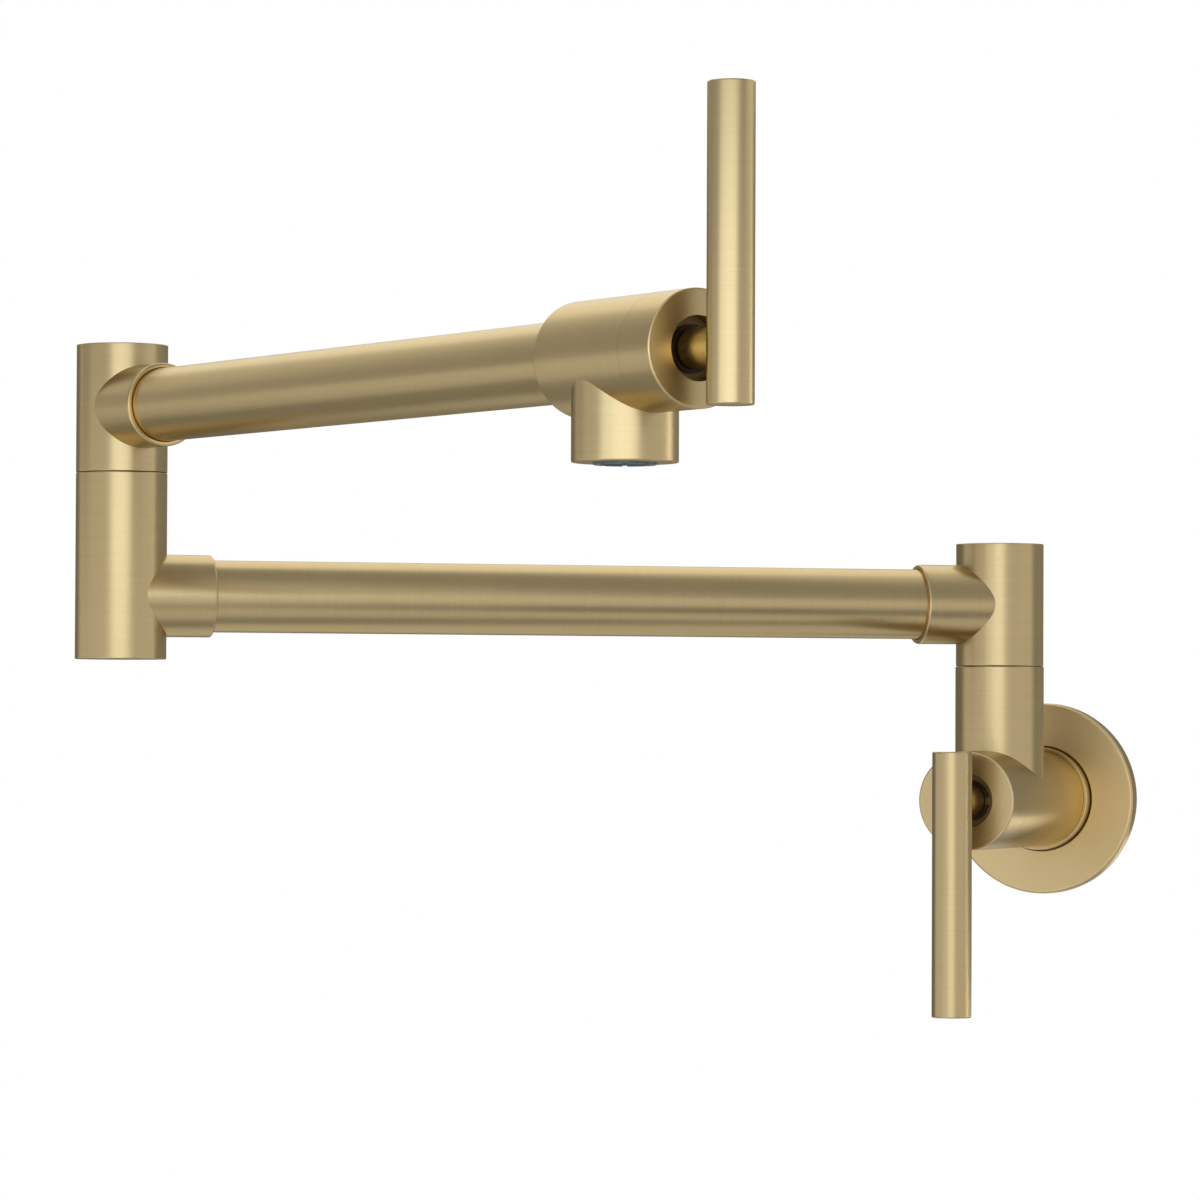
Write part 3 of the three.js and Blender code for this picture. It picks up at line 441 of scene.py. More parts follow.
BARREL_RADIUS = 16.0
FACE_REACH = 35.8
CAP_LENGTH = 14.8
CAP_SEAM = 0.02
NOSE_RADIUS = 13.0
NOSE_END = -8.8
CARTRIDGE_BORE = 10.8
SEAT_SETBACK = 9.0
RISER_RADIUS = 14.45
COLUMN_EDGE = 0.3
SEAM_HALF = 0.06
COLUMN_WATERWAY = 8.5
SPIGOT_BORE = 11.0
SPIGOT_REACH = 24.6
WASHER_SEAT = (13.3, 1.25)  # its radius and depth
RETAINER_SEAT = (12.4, 20.5, 0.95)  # its radius, depth and half its width
OVERCUT = 1  # how far a cutting tool goes past the face that it cuts through
BARREL_PAINTED_REFLECTION = (50, 27)

joint = {each["name"]: each for each in frame["joints"]}
riser_seam = Vector(joint["riser_swivel"]["pos_m"])
wall_to_riser = -riser_seam.y / MM
UP = Vector((0, 0, 1))


def rod(name, radius, bottom, top, material, edge=0.0):
    """A turned bar from bottom to top, with both its end corners rounded if it has an edge."""
    profile = [(radius, bottom), (radius, top)]
    if edge:
        profile = bottom_corner(radius, bottom, edge) + top_corner(radius, top, edge)
    return turned(name, profile, material, solid=True)


def merged(piece, operation, *others):
    """Joins pieces to one, or cuts them out of it, and keeps each piece's own finish."""
    for other in others:
        picked(piece)
        bpy.ops.object.modifier_add(type="BOOLEAN")
        modifier = piece.modifiers[-1]
        modifier.operation = operation
        modifier.solver = "EXACT"
        modifier.material_mode = "TRANSFER"
        modifier.object = other
        bpy.ops.object.modifier_apply(modifier=modifier.name)
        bpy.data.objects.remove(other)
    return piece


riser_foot = Vector((0, riser_seam.y, 0))
gold_on_riser = satin_gold("satin_gold_riser", riser_foot, UP)
brass_in_riser = bare_brass("bare_brass_riser", riser_foot, UP)


def swivel_socket(material, seam):
    """What is bored into a column's base for its spigot, slip washer and retaining ring."""
    washer_radius, washer_depth = WASHER_SEAT
    retainer_radius, retainer_depth, retainer_half = RETAINER_SEAT
    bores = [rod("bore", SPIGOT_BORE, -SPIGOT_REACH, OVERCUT, material)]
    bores.append(rod("bore", washer_radius, -washer_depth, OVERCUT, material))
    low, high = -retainer_depth - retainer_half, -retainer_depth + retainer_half
    bores.append(rod("bore", retainer_radius, low, high, material))
    return [laid(bore, seam, UP) for bore in bores]


shoulder = wall_to_riser + FACE_REACH - CAP_LENGTH - CAP_SEAM
nose_end = wall_to_riser + FACE_REACH + NOSE_END
barrel_start = SLEEVE_LENGTH + PIECE_GAP
barrel_profile = [(BARREL_RADIUS, barrel_start), (BARREL_RADIUS, shoulder)]
barrel_profile += [(NOSE_RADIUS, shoulder), (NOSE_RADIUS, nose_end)]
# painted reflection: the barrel's gold turns richer towards the flange
gold_on_barrel = satin_gold("satin_gold_barrel", WALL, TO_ROOM, deep=BARREL_PAINTED_REFLECTION)
inlet_body = turned("inlet_barrel_and_riser", barrel_profile, gold_on_barrel, solid=True)
laid(inlet_body, WALL, TO_ROOM)
riser_height = riser_seam.z / MM - SEAM_HALF
riser = rod("riser", RISER_RADIUS, 0, riser_height, gold_on_riser, COLUMN_EDGE)
merged(inlet_body, "UNION", laid(riser, riser_foot, UP))
seat = wall_to_riser - SEAT_SETBACK
cartridge_bore = rod("bore", CARTRIDGE_BORE, seat, nose_end + OVERCUT, brass_at_wall)
waterway = rod("bore", WATERWAY_RADIUS, 0, wall_to_riser, brass_at_wall)
socket = rod("bore", ADAPTER_NOSE_RADIUS + PIECE_GAP, 0, ADAPTER_LENGTH + PIECE_GAP, brass_at_wall)
bores = [laid(bore, WALL, TO_ROOM) for bore in (cartridge_bore, waterway, socket)]
bores.append(laid(rod("bore", COLUMN_WATERWAY, 0, riser_height, brass_in_riser), riser_foot, UP))
merged(inlet_body, "DIFFERENCE", *bores, *swivel_socket(brass_in_riser, riser_seam))
polished(inlet_body)
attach(inlet_body, "wall_side")
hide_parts("inlet_valve_body")

# ---- Inlet washer and strainer -----------------------------------------------
# At the bottom of the adapter's socket: a rubber washer that seals the supply nipple, and a small
# stainless strainer plate on it that keeps grit out of the ceramic discs.

WASHER_WIDTH = 3.0
WASHER_THICKNESS = 2.0
STRAINER_THICKNESS = 0.8
STRAINER_HOLE = 1.2
STRAINER_PITCH = 4.2
STEEL_LIGHT = (0.66, 0.67, 0.68, 1)
STEEL_DARK = (0.50, 0.51, 0.52, 1)
STEEL_ROUGHNESS = 0.3

steel = bare_metal("plain_steel", WALL, TO_ROOM, STEEL_LIGHT, STEEL_DARK, STEEL_ROUGHNESS)
socket_radius = INLET_RADIUS - PIECE_GAP
washer_end = INLET_DEPTH - PIECE_GAP
washer_start = washer_end - WASHER_THICKNESS
washer_hole = socket_radius - WASHER_WIDTH
washer_profile = [(washer_hole, washer_start), (socket_radius, washer_start)]
washer_profile += [(socket_radius, washer_end), (washer_hole, washer_end)]
washer = polished(laid(turned("inlet_seal_washer", washer_profile), WALL, TO_ROOM), rubber)
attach(washer, "wall_side")
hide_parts("inlet_washer")


def perforated(name, radius, bottom, top, hole, pitch, rings, material):
    """A round plate with hexagonal holes on a honeycomb grid, in rings round the middle one."""
    plate = rod(name, radius, bottom, top, material)
    for row in range(-rings, rings + 1):
        count = 2 * rings + 1 - abs(row)
        for i in range(count):
            x = (i - (count - 1) / 2) * pitch
            y = row * pitch * math.sqrt(3) / 2
            profile = [(hole, bottom - OVERCUT), (hole, top + OVERCUT)]
            punch = turned("punch", profile, material, solid=True, sides=6)
            punch.location = Vector((x, y, 0)) * MM
            merged(plate, "DIFFERENCE", punch)
    return plate


strainer_top = washer_start - PIECE_GAP
strainer = perforated(
    "inlet_strainer_plate", socket_radius, strainer_top - STRAINER_THICKNESS, strainer_top,
    STRAINER_HOLE, STRAINER_PITCH, rings=1, material=steel)
polished(laid(strainer, WALL, TO_ROOM))
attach(strainer, "wall_side")
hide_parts("inlet_strainer")

# ---- Cartridges --------------------------------------------------------------
# A quarter-turn cartridge is a brass barrel with a hexagonal front for a spanner, windows in its
# side that let the water out, and a chamber for the ceramic discs. Only its front shows, dulled,
# and darkened as painted shade, in the bottom of the stem opening.

CARTRIDGE_RADIUS = 10.5
CARTRIDGE_END = -43.8
HEX_FLATS = 20.0
HEX_FRONT = -4.3
HEX_BACK = -8.5
HEX_CHAMFER = 0.6
SPINDLE_BORE = 5.0
CHAMBER_RADIUS = 8.2
CHAMBER_TOP = -31.3
WINDOW_RADIUS = 3.4
ACROSS = Vector((1, 0, 0))

outlet_hinge = Vector(joint["outlet_lever_turn"]["pos_m"])
upper_heading = Vector(joint["outlet_lever_turn"]["axis"]).normalized()
inlet_face = Vector(joint["inlet_lever_turn"]["pos_m"])
gold_on_outlet = satin_gold("satin_gold_outlet", outlet_hinge, upper_heading)
brass_in_outlet = bare_brass("bare_brass_outlet", outlet_hinge, upper_heading)
VALVES = {  # the front face and its axis, the finishes, and the body that holds the valve
    "inlet": (inlet_face, TO_ROOM, gold_at_wall, brass_at_wall, "wall_side"),
    "outlet": (outlet_hinge, upper_heading, gold_on_outlet, brass_in_outlet, "upper_arm"),
}


def copy_of(model, name, *materials):
    """A copy of a modelled piece, with a mesh and finishes of its own."""
    picked(model)
    bpy.ops.object.duplicate()
    piece = bpy.context.object
    piece.name = name
    for slot, material in zip(piece.material_slots, materials):
        slot.material = material
    return piece


corner = HEX_FLATS / math.sqrt(3)
hex_profile = [(corner, HEX_BACK), (corner, HEX_FRONT - HEX_CHAMFER)]
hex_profile += [(corner - HEX_CHAMFER, HEX_FRONT)]
model = rod("cartridge", CARTRIDGE_RADIUS, CARTRIDGE_END, HEX_BACK, painted_shade_brass_at_wall)
hexagon = turned("hexagon", hex_profile, painted_shade_brass_at_wall, solid=True, sides=6)
merged(model, "UNION", hexagon)
spindle_bore = rod("bore", SPINDLE_BORE, CARTRIDGE_END, 0, painted_shade_brass_at_wall)
chamber = rod("bore", CHAMBER_RADIUS, CARTRIDGE_END - OVERCUT, CHAMBER_TOP, painted_shade_brass_at_wall)
window_end = CARTRIDGE_RADIUS + OVERCUT
window = rod("bore", WINDOW_RADIUS, -window_end, window_end, painted_shade_brass_at_wall)
laid(window, Vector((0, 0, -FACE_REACH * MM)), ACROSS)
merged(model, "DIFFERENCE", spindle_bore, chamber, window)
for valve, (face, axis, _, _, body) in VALVES.items():
    # painted shade: each cartridge is darkened brass, for the shade in the stem opening
    painted_shade_cartridge_brass = painted_shade_brass(f"painted_shade_brass_{valve}", face, axis)
    cartridge = polished(laid(copy_of(model, f"{valve}_cartridge", painted_shade_cartridge_brass), face, axis, UP))
    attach(cartridge, body)
    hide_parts(f"{valve}_cartridge_body")
bpy.data.objects.remove(model)

# ---- Valve caps --------------------------------------------------------------
# The front third of each valve barrel is a cap screwed over the cartridge. Its seam is almost
# closed, its front corner has a fine bright edge, and the stem comes out through a round
# opening in its face.

CAP_EDGE = 0.5
CAP_WALL = 2.7
CAP_FACE_WALL = 4.0
CAP_REAR_EDGE = 0.08
STEM_OPENING = 8.7
OPENING_EDGE = 0.12

cap_bore = BARREL_RADIUS - CAP_WALL
cap_profile = [(STEM_OPENING, -CAP_FACE_WALL), (cap_bore, -CAP_FACE_WALL), (cap_bore, -CAP_LENGTH)]
cap_profile += [(BARREL_RADIUS - CAP_REAR_EDGE, -CAP_LENGTH)]
cap_profile += [(BARREL_RADIUS, CAP_REAR_EDGE - CAP_LENGTH)]
cap_profile += top_corner(BARREL_RADIUS, 0, CAP_EDGE)
cap_profile += [(STEM_OPENING + OPENING_EDGE, 0), (STEM_OPENING, -OPENING_EDGE)]
model = polished(turned("cap", cap_profile), gold_at_wall)
for valve, (face, axis, gold, _, body) in VALVES.items():
    cap = laid(copy_of(model, f"{valve}_cap", gold), face, axis)
    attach(cap, body)
    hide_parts(f"{valve}_valve_cap")
bpy.data.objects.remove(model)

# ---- Circlips ----------------------------------------------------------------
# A split ring of blackened spring steel that is snapped into the spindle's groove, and so turns
# with the handle. It lies on the cartridge's front and keeps the spindle in. Its warm dark brown
# is partly the blackened steel and partly painted shade of the stem opening.

CIRCLIP_INSIDE = 4.1
CIRCLIP_OUTSIDE = 6.5
CIRCLIP_THICKNESS = 0.8
CIRCLIP_SLOT = 2.4
SLOT_CUTTER = (12.0, CIRCLIP_SLOT, 4.0)  # from near the middle out past the ring's edge
SMALL_ROUND = 96  # sides of a small turned piece
# partly painted shade: blackened steel, taken down to the dark brown of the shaded opening
BLACKENED_AND_SHADED_LIGHT = (0.055, 0.038, 0.022, 1)
BLACKENED_AND_SHADED_DARK = (0.032, 0.022, 0.013, 1)
BLACKENED_ROUGHNESS = 0.5

blackened = bare_metal(
    "blackened_steel", WALL, TO_ROOM, BLACKENED_AND_SHADED_LIGHT, BLACKENED_AND_SHADED_DARK, BLACKENED_ROUGHNESS)
circlip_bottom = HEX_FRONT + PIECE_GAP
circlip_top = circlip_bottom + CIRCLIP_THICKNESS
clip_profile = [(CIRCLIP_INSIDE, circlip_bottom), (CIRCLIP_OUTSIDE, circlip_bottom)]
clip_profile += [(CIRCLIP_OUTSIDE, circlip_top), (CIRCLIP_INSIDE, circlip_top)]
model = turned("clip", clip_profile, blackened, sides=SMALL_ROUND)
slot_place = Vector((CIRCLIP_OUTSIDE, 0, circlip_bottom)) * MM
bpy.ops.mesh.primitive_cube_add(size=MM, location=slot_place)
slot = bpy.context.object
slot.scale = SLOT_CUTTER
slot.data.materials.append(blackened)
polished(merged(model, "DIFFERENCE", slot))
for valve, (face, axis, _, _, _) in VALVES.items():
    clip = laid(copy_of(model, f"{valve}_clip", blackened), face, axis)
    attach(clip, f"{valve}_handle")
    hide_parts(f"{valve}_circlip")
bpy.data.objects.remove(model)

# ---- Lever stems -------------------------------------------------------------
# Each lever stands on a short round stem. The stem is coped to the bar, a stud on it goes into
# the bar, and a small screw in its side holds it on the spindle.

LEVER_RADIUS = 6.35
LEVER_STANDOFF = 14.8
STEM_RADIUS = 5.4
STEM_DEPTH = 2.0
COPE_GAP = 0.05
COPE_REACH = 12.0
STUD_RADIUS = 2.8
STUD_REACH = 2.0
STUD_FOOT = 6.3
SPLINE_SOCKET = 3.3
BLIND_END = 5.3
SCREW_RADIUS = 1.7
SCREW_HEIGHT = 3.0
SCREW_HOLE_END = 7.0
STEM_PAINTED_REFLECTION = (22, 8)
LONG_WAY = {"inlet": -UP, "outlet": UP}  # where the long end of each lever points

half_side = math.pi / ROUND  # cross cuts turn by half a side, so that no edge meets another end on
cross_side = Vector((0, math.sin(half_side), math.cos(half_side)))
model = rod("stem", STEM_RADIUS, -STEM_DEPTH, LEVER_STANDOFF, gold_at_wall)
cope = rod("cope", LEVER_RADIUS + COPE_GAP, -COPE_REACH, COPE_REACH, gold_at_wall)
laid(cope, Vector((0, 0, LEVER_STANDOFF * MM)), ACROSS, cross_side)
merged(model, "DIFFERENCE", cope)
stud = rod("stud", STUD_RADIUS, STUD_FOOT, LEVER_STANDOFF + STUD_REACH, gold_at_wall)
merged(model, "UNION", stud)
spline_socket = rod("bore", SPLINE_SOCKET, -STEM_DEPTH - OVERCUT, BLIND_END, brass_at_wall)
screw_hole = rod("bore", SCREW_RADIUS + PIECE_GAP, 0, SCREW_HOLE_END, brass_at_wall)
laid(screw_hole, Vector((0, 0, SCREW_HEIGHT * MM)), ACROSS, cross_side)
polished(merged(model, "DIFFERENCE", spline_socket, screw_hole))
for valve, (face, axis, _, brass, _) in VALVES.items():
    # painted reflection: the stem's gold turns richer down towards the cap's face
    gold_on_stem = satin_gold(f"satin_gold_{valve}_stem", face, axis, deep=STEM_PAINTED_REFLECTION)
    stem = laid(copy_of(model, f"{valve}_stem", gold_on_stem, brass), face, axis, LONG_WAY[valve])
    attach(stem, f"{valve}_handle")
    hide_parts(f"{valve}_lever_hub")
bpy.data.objects.remove(model)

# ---- Lever bars --------------------------------------------------------------
# The levers are plain half-inch bars. Their ends are flat, with a fine bright edge, and the
# stem's stud is pressed into a blind hole in their side.

LEVER_LONG_END = 68.9
LEVER_SHORT_END = 15.7
LEVER_EDGE = 0.45

model = rod("bar", LEVER_RADIUS, -LEVER_SHORT_END, LEVER_LONG_END, gold_at_wall, LEVER_EDGE)
stud_end = STUD_REACH + PIECE_GAP
stud_hole = rod("bore", STUD_RADIUS + PIECE_GAP, -LEVER_STANDOFF, stud_end, brass_at_wall)
polished(merged(model, "DIFFERENCE", laid(stud_hole, WALL, ACROSS)))
for valve, (face, axis, _, brass, _) in VALVES.items():
    bar_axis = face + axis * LEVER_STANDOFF * MM
    gold_on_bar = satin_gold(f"satin_gold_{valve}_bar", bar_axis, LONG_WAY[valve])
    bar = copy_of(model, f"{valve}_lever_bar", gold_on_bar, brass)
    laid(bar, bar_axis, LONG_WAY[valve], axis)
    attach(bar, f"{valve}_handle")
    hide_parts(f"{valve}_lever")
bpy.data.objects.remove(model)

# ---- Riser head --------------------------------------------------------------
# The column that turns on the riser and carries the lower arm. It is bored from below for the
# spigot's thread, and its collar is one with it, with a rounded outer corner. The tube comes out
# of the collar's mouth with a hairline between them.

COLUMN_RADIUS = 14.3
ARM_TO_SEAM = 20.1
ARM_TO_END = 20.0
END_WALL = 5.0
COLLAR_RADIUS = 12.95
COLLAR_REACH = 28.6
COLLAR_EDGE = 0.7
SOCKET_RADIUS = 11.65
SOCKET_DEPTH = 11.6
MOUTH_DEPTH = 1.6
MOUTH_EDGE = 0.3
MOUTH_GAP = 0.03
MOUTH_PAINTED_REFLECTION = (10, 20)
TUBE_RADIUS = 11.35
SPIGOT_THREAD = 8.3

elbow_seam = Vector(joint["elbow_swivel"]["pos_m"])
lower_start = riser_seam + UP * ARM_TO_SEAM * MM
lower_end = Vector((elbow_seam.x, elbow_seam.y, lower_start.z))
lower_heading = (lower_end - lower_start).normalized()
gold_on_lower_arm = satin_gold("satin_gold_lower_arm", lower_start, lower_heading)
gold_in_lower_mouth = satin_gold(
    "satin_gold_lower_mouth", lower_start, lower_heading, deep=MOUTH_PAINTED_REFLECTION)
brass_in_lower_arm = bare_brass("bare_brass_lower_arm", lower_start, lower_heading)

collar_profile = [(COLLAR_RADIUS, 0)]
collar_profile += top_corner(COLLAR_RADIUS, COLLAR_REACH, COLLAR_EDGE)[:-1]  # its face has no band


def tube_socket(face, depth, gold, brass):
    """What is bored into a face at that height for a tube: a socket behind a close, edged mouth."""
    socket = rod("bore", SOCKET_RADIUS, face - depth, face - MOUTH_DEPTH, brass)
    mouth = TUBE_RADIUS + MOUTH_GAP
    wide = mouth + MOUTH_EDGE
    profile = [(mouth, face - MOUTH_DEPTH - OVERCUT), (mouth, face - MOUTH_EDGE)]
    profile += [(wide, face), (wide, face + OVERCUT)]
    return socket, turned("bore", profile, gold, solid=True)


def column_with_collar(name, centre, low, high, heading, golds, brasses):
    """A column from low to high about the arm's axis, with its collar, tube socket and passage."""
    column = laid(rod(name, COLUMN_RADIUS, low, high, golds[0], COLUMN_EDGE), centre, UP)
    collar = turned("collar", collar_profile, golds[1], solid=True)
    merged(column, "UNION", laid(collar, centre, heading))
    bores = [rod("bore", COLUMN_WATERWAY, 0, COLLAR_REACH, brasses[1])]
    bores += tube_socket(COLLAR_REACH, SOCKET_DEPTH, golds[1], brasses[1])
    return merged(column, "DIFFERENCE", *[laid(bore, centre, heading) for bore in bores])


def head(name, centre, heading, golds, brasses):
    """A column that turns on the one below it, bored from below for the spigot's thread. The face
    of its collar has the last of the finishes, a gold with a painted reflection."""
    low = SEAM_HALF - ARM_TO_SEAM
    column = column_with_collar(name, centre, low, ARM_TO_END, heading, golds, brasses)
    thread = rod("bore", SPIGOT_BORE, low - OVERCUT, SPIGOT_THREAD - ARM_TO_SEAM, brasses[0])
    waterway = rod("bore", COLUMN_WATERWAY, low, ARM_TO_END - END_WALL, brasses[0])
    merged(column, "DIFFERENCE", laid(thread, centre, UP), laid(waterway, centre, UP))
    mouth = (centre + heading * COLLAR_REACH * MM) / MM
    flat = COLLAR_RADIUS - COLLAR_EDGE

    def on_face(at):
        return (at - mouth).length < flat and (at - mouth).dot(heading) > -MOUTH_EDGE

    # painted reflection: the collar's end face round the mouth is a richer gold
    refaced(column, golds[2], on_face)
    return polished(column)


riser_head = head(
    "riser_head_and_collar", lower_start, lower_heading,
    (gold_on_riser, gold_on_lower_arm, gold_in_lower_mouth), (brass_in_riser, brass_in_lower_arm))
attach(riser_head, "lower_arm")
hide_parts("riser_head")

# ---- Lower arm tube ----------------------------------------------------------
# A length of brass tube from the riser head's collar to the elbow base's, soldered into both. Its
# cut ends are hidden in their sockets.

TUBE_BORE = 9.35
TUBE_START = 17.3

arm_length = (lower_end - lower_start).length / MM


def arm_tube(name, start, heading, end, gold):
    """A length of tube from its start in the first collar to its end in the next piece."""
    profile = [(TUBE_BORE, TUBE_START), (TUBE_RADIUS, TUBE_START)]
    profile += [(TUBE_RADIUS, end), (TUBE_BORE, end)]
    return polished(laid(turned(name, profile), start, heading), gold)


lower_tube = arm_tube(
    "lower_tube", lower_start, lower_heading, arm_length - TUBE_START, gold_on_lower_arm)
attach(lower_tube, "lower_arm")
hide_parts("lower_arm_tube")

# ---- Elbow base --------------------------------------------------------------
# The tall column on the far end of the lower arm. It is closed below and bored from above, as the
# riser is, for the spigot of the second swivel.

ARM_RISE = 58.5

gold_on_elbow = satin_gold("satin_gold_elbow", elbow_seam, UP)
brass_in_elbow = bare_brass("bare_brass_elbow", elbow_seam, UP)
base_top = ARM_RISE - ARM_TO_SEAM - SEAM_HALF
elbow_base = column_with_collar(
    "elbow_base_and_collar", lower_end, -ARM_TO_END, base_top, -lower_heading,
    (gold_on_elbow, gold_on_lower_arm), (brass_in_elbow, brass_in_lower_arm))
waterway = rod("bore", COLUMN_WATERWAY, END_WALL - ARM_TO_END, base_top, brass_in_elbow)
bores = [laid(waterway, lower_end, UP)] + swivel_socket(brass_in_elbow, elbow_seam)
merged(elbow_base, "DIFFERENCE", *bores)
polished(elbow_base)
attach(elbow_base, "lower_arm")
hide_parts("elbow_base")

# ---- Elbow head --------------------------------------------------------------
# The same casting as the riser head, turning on the elbow base. It carries the upper arm.

upper_start = elbow_seam + UP * ARM_TO_SEAM * MM
gold_on_upper_arm = satin_gold("satin_gold_upper_arm", upper_start, upper_heading)
gold_in_upper_mouth = satin_gold(
    "satin_gold_upper_mouth", upper_start, upper_heading, deep=MOUTH_PAINTED_REFLECTION)
brass_in_upper_arm = bare_brass("bare_brass_upper_arm", upper_start, upper_heading)
elbow_head = head(
    "elbow_head_and_collar", upper_start, upper_heading,
    (gold_on_elbow, gold_on_upper_arm, gold_in_upper_mouth), (brass_in_elbow, brass_in_upper_arm))
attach(elbow_head, "upper_arm")
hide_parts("elbow_head")

# ---- Upper arm tube ----------------------------------------------------------
# The second tube, from the elbow head's collar into the rear face of the outlet valve.

VALVE_REAR = 21.3
TUBE_VALVE_INSERTION = 8.0

upper_tube = arm_tube(
    "upper_tube", upper_start, upper_heading, arm_length - VALVE_REAR + TUBE_VALVE_INSERTION,
    gold_on_upper_arm)
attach(upper_tube, "upper_arm")
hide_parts("upper_arm_tube")

# ---- Outlet valve body -------------------------------------------------------
# A second brass forging: a barrel on the end of the upper arm, with the outlet standing straight
# down from it. The tube enters its flat rear face, and the outlet's lip has a fine bright edge
# round the socket of the aerator.

OUTLET_RADIUS = 14.5
OUTLET_DROP = 28.7
OUTLET_EDGE = 0.45
OUTLET_WATERWAY = 6.5
AERATOR_RADIUS = 8.55
AERATOR_DEPTH = 11.0
BARREL_EDGE = 0.5

outlet_axle = outlet_hinge - upper_heading * FACE_REACH * MM
gold_on_spout = satin_gold("satin_gold_spout", outlet_axle, UP)
brass_in_spout = bare_brass("bare_brass_spout", outlet_axle, UP)
rear = -FACE_REACH - VALVE_REAR
shoulder = -CAP_LENGTH - CAP_SEAM
outlet_profile = bottom_corner(BARREL_RADIUS, rear, BARREL_EDGE)
outlet_profile += [(BARREL_RADIUS, shoulder), (NOSE_RADIUS, shoulder), (NOSE_RADIUS, NOSE_END)]
outlet_body = turned("outlet_barrel_and_spout", outlet_profile, gold_on_outlet, solid=True)
laid(outlet_body, outlet_hinge, upper_heading)
spout = rod("spout", OUTLET_RADIUS, -OUTLET_DROP, 0, gold_on_spout, OUTLET_EDGE)
merged(outlet_body, "UNION", laid(spout, outlet_axle, UP))
waterway = rod("bore", WATERWAY_RADIUS, rear, -FACE_REACH, brass_in_outlet)
cartridge_bore = rod("bore", CARTRIDGE_BORE, -FACE_REACH - SEAT_SETBACK, 0, brass_in_outlet)
bores = [laid(bore, outlet_hinge, upper_heading) for bore in (waterway, cartridge_bore)]
entry = tube_socket(-rear, TUBE_VALVE_INSERTION + PIECE_GAP, gold_on_outlet, brass_in_outlet)
bores += [laid(bore, outlet_hinge, -upper_heading) for bore in entry]
branch = rod("bore", OUTLET_WATERWAY, -OUTLET_DROP, 0, brass_in_spout)
aerator_socket = rod(
    "bore", AERATOR_RADIUS + PIECE_GAP, -OUTLET_DROP - OVERCUT, AERATOR_DEPTH - OUTLET_DROP,
    brass_in_spout)
bores += [laid(bore, outlet_axle, UP) for bore in (branch, aerator_socket)]
merged(outlet_body, "DIFFERENCE", *bores)
polished(outlet_body)
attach(outlet_body, "upper_arm")
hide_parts("outlet_valve_body")

# ---- Aerator -----------------------------------------------------------------
# A moulded insert in the outlet, of blue-grey plastic. Its rim stands just proud of the lip and
# is notched for a key, and a perforated screen lies inside it.

AERATOR_PROUD = 0.65
AERATOR_WALL = 1.65
AERATOR_SHELF = 1.3
AERATOR_TOP = -19.5
AERATOR_EDGE = 0.15
AERATOR_NOTCHES = 8
NOTCH_WIDTH = 1.3
NOTCH_DEPTH = 0.25
FIRST_NOTCH = math.radians(21.5)
SCREEN_RECESS = 3.0
SCREEN_THICKNESS = 1.2
SCREEN_HOLE = 0.7
SCREEN_PITCH = 1.9
PLASTIC_LIGHT, PLASTIC_DARK = (0.105, 0.14, 0.165, 1), (0.075, 0.105, 0.128, 1)

grey_plastic = matt(
    "grey_plastic", PLASTIC_LIGHT, PLASTIC_DARK, roughness=0.38, grain=0.5, relief=0.02)
bottom = -OUTLET_DROP - AERATOR_PROUD
bore = AERATOR_RADIUS - AERATOR_WALL
shelf = bottom + SCREEN_RECESS + SCREEN_THICKNESS + PIECE_GAP
shelf_bore = bore - AERATOR_SHELF
insert_profile = [(shelf_bore, AERATOR_TOP), (shelf_bore, shelf), (bore, shelf)]
insert_profile += [(bore, bottom + AERATOR_EDGE), (bore + AERATOR_EDGE, bottom)]
insert_profile += [(AERATOR_RADIUS - AERATOR_EDGE, bottom), (AERATOR_RADIUS, bottom + AERATOR_EDGE)]
insert_profile += [(AERATOR_RADIUS, AERATOR_TOP)]
insert = turned("aerator_rim", insert_profile, grey_plastic, sides=SMALL_ROUND)
for i in range(AERATOR_NOTCHES):
    turn = FIRST_NOTCH + i * 2 * math.pi / AERATOR_NOTCHES
    place = Vector((AERATOR_RADIUS * math.cos(turn), AERATOR_RADIUS * math.sin(turn), bottom)) * MM
    bpy.ops.mesh.primitive_cube_add(size=MM, location=place, rotation=(0, 0, turn))
    notch = bpy.context.object
    notch.scale = (2 * AERATOR_WALL + OVERCUT, NOTCH_WIDTH, 2 * NOTCH_DEPTH)
    notch.data.materials.append(grey_plastic)
    merged(insert, "DIFFERENCE", notch)
polished(laid(insert, outlet_axle, UP))
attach(insert, "upper_arm")
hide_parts("aerator_insert")

screen_low = bottom + SCREEN_RECESS
screen = perforated(
    "aerator_plate", bore - PIECE_GAP, screen_low, screen_low + SCREEN_THICKNESS,
    SCREEN_HOLE, SCREEN_PITCH, rings=2, material=grey_plastic)
polished(laid(screen, outlet_axle, UP))
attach(screen, "upper_arm")
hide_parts("aerator_screen")

# ---- Inner pieces ------------------------------------------------------------
# What else lies inside keeps its shape from the frame and gets its finish here: brass spindles
# and spigots, ceramic discs, slip washers, steel rings, blackened screws and black O-rings.

CERAMIC_LIGHT, CERAMIC_DARK = (0.86, 0.86, 0.83, 1), (0.80, 0.80, 0.77, 1)
SLIP_LIGHT, SLIP_DARK = (0.82, 0.81, 0.77, 1), (0.74, 0.73, 0.69, 1)

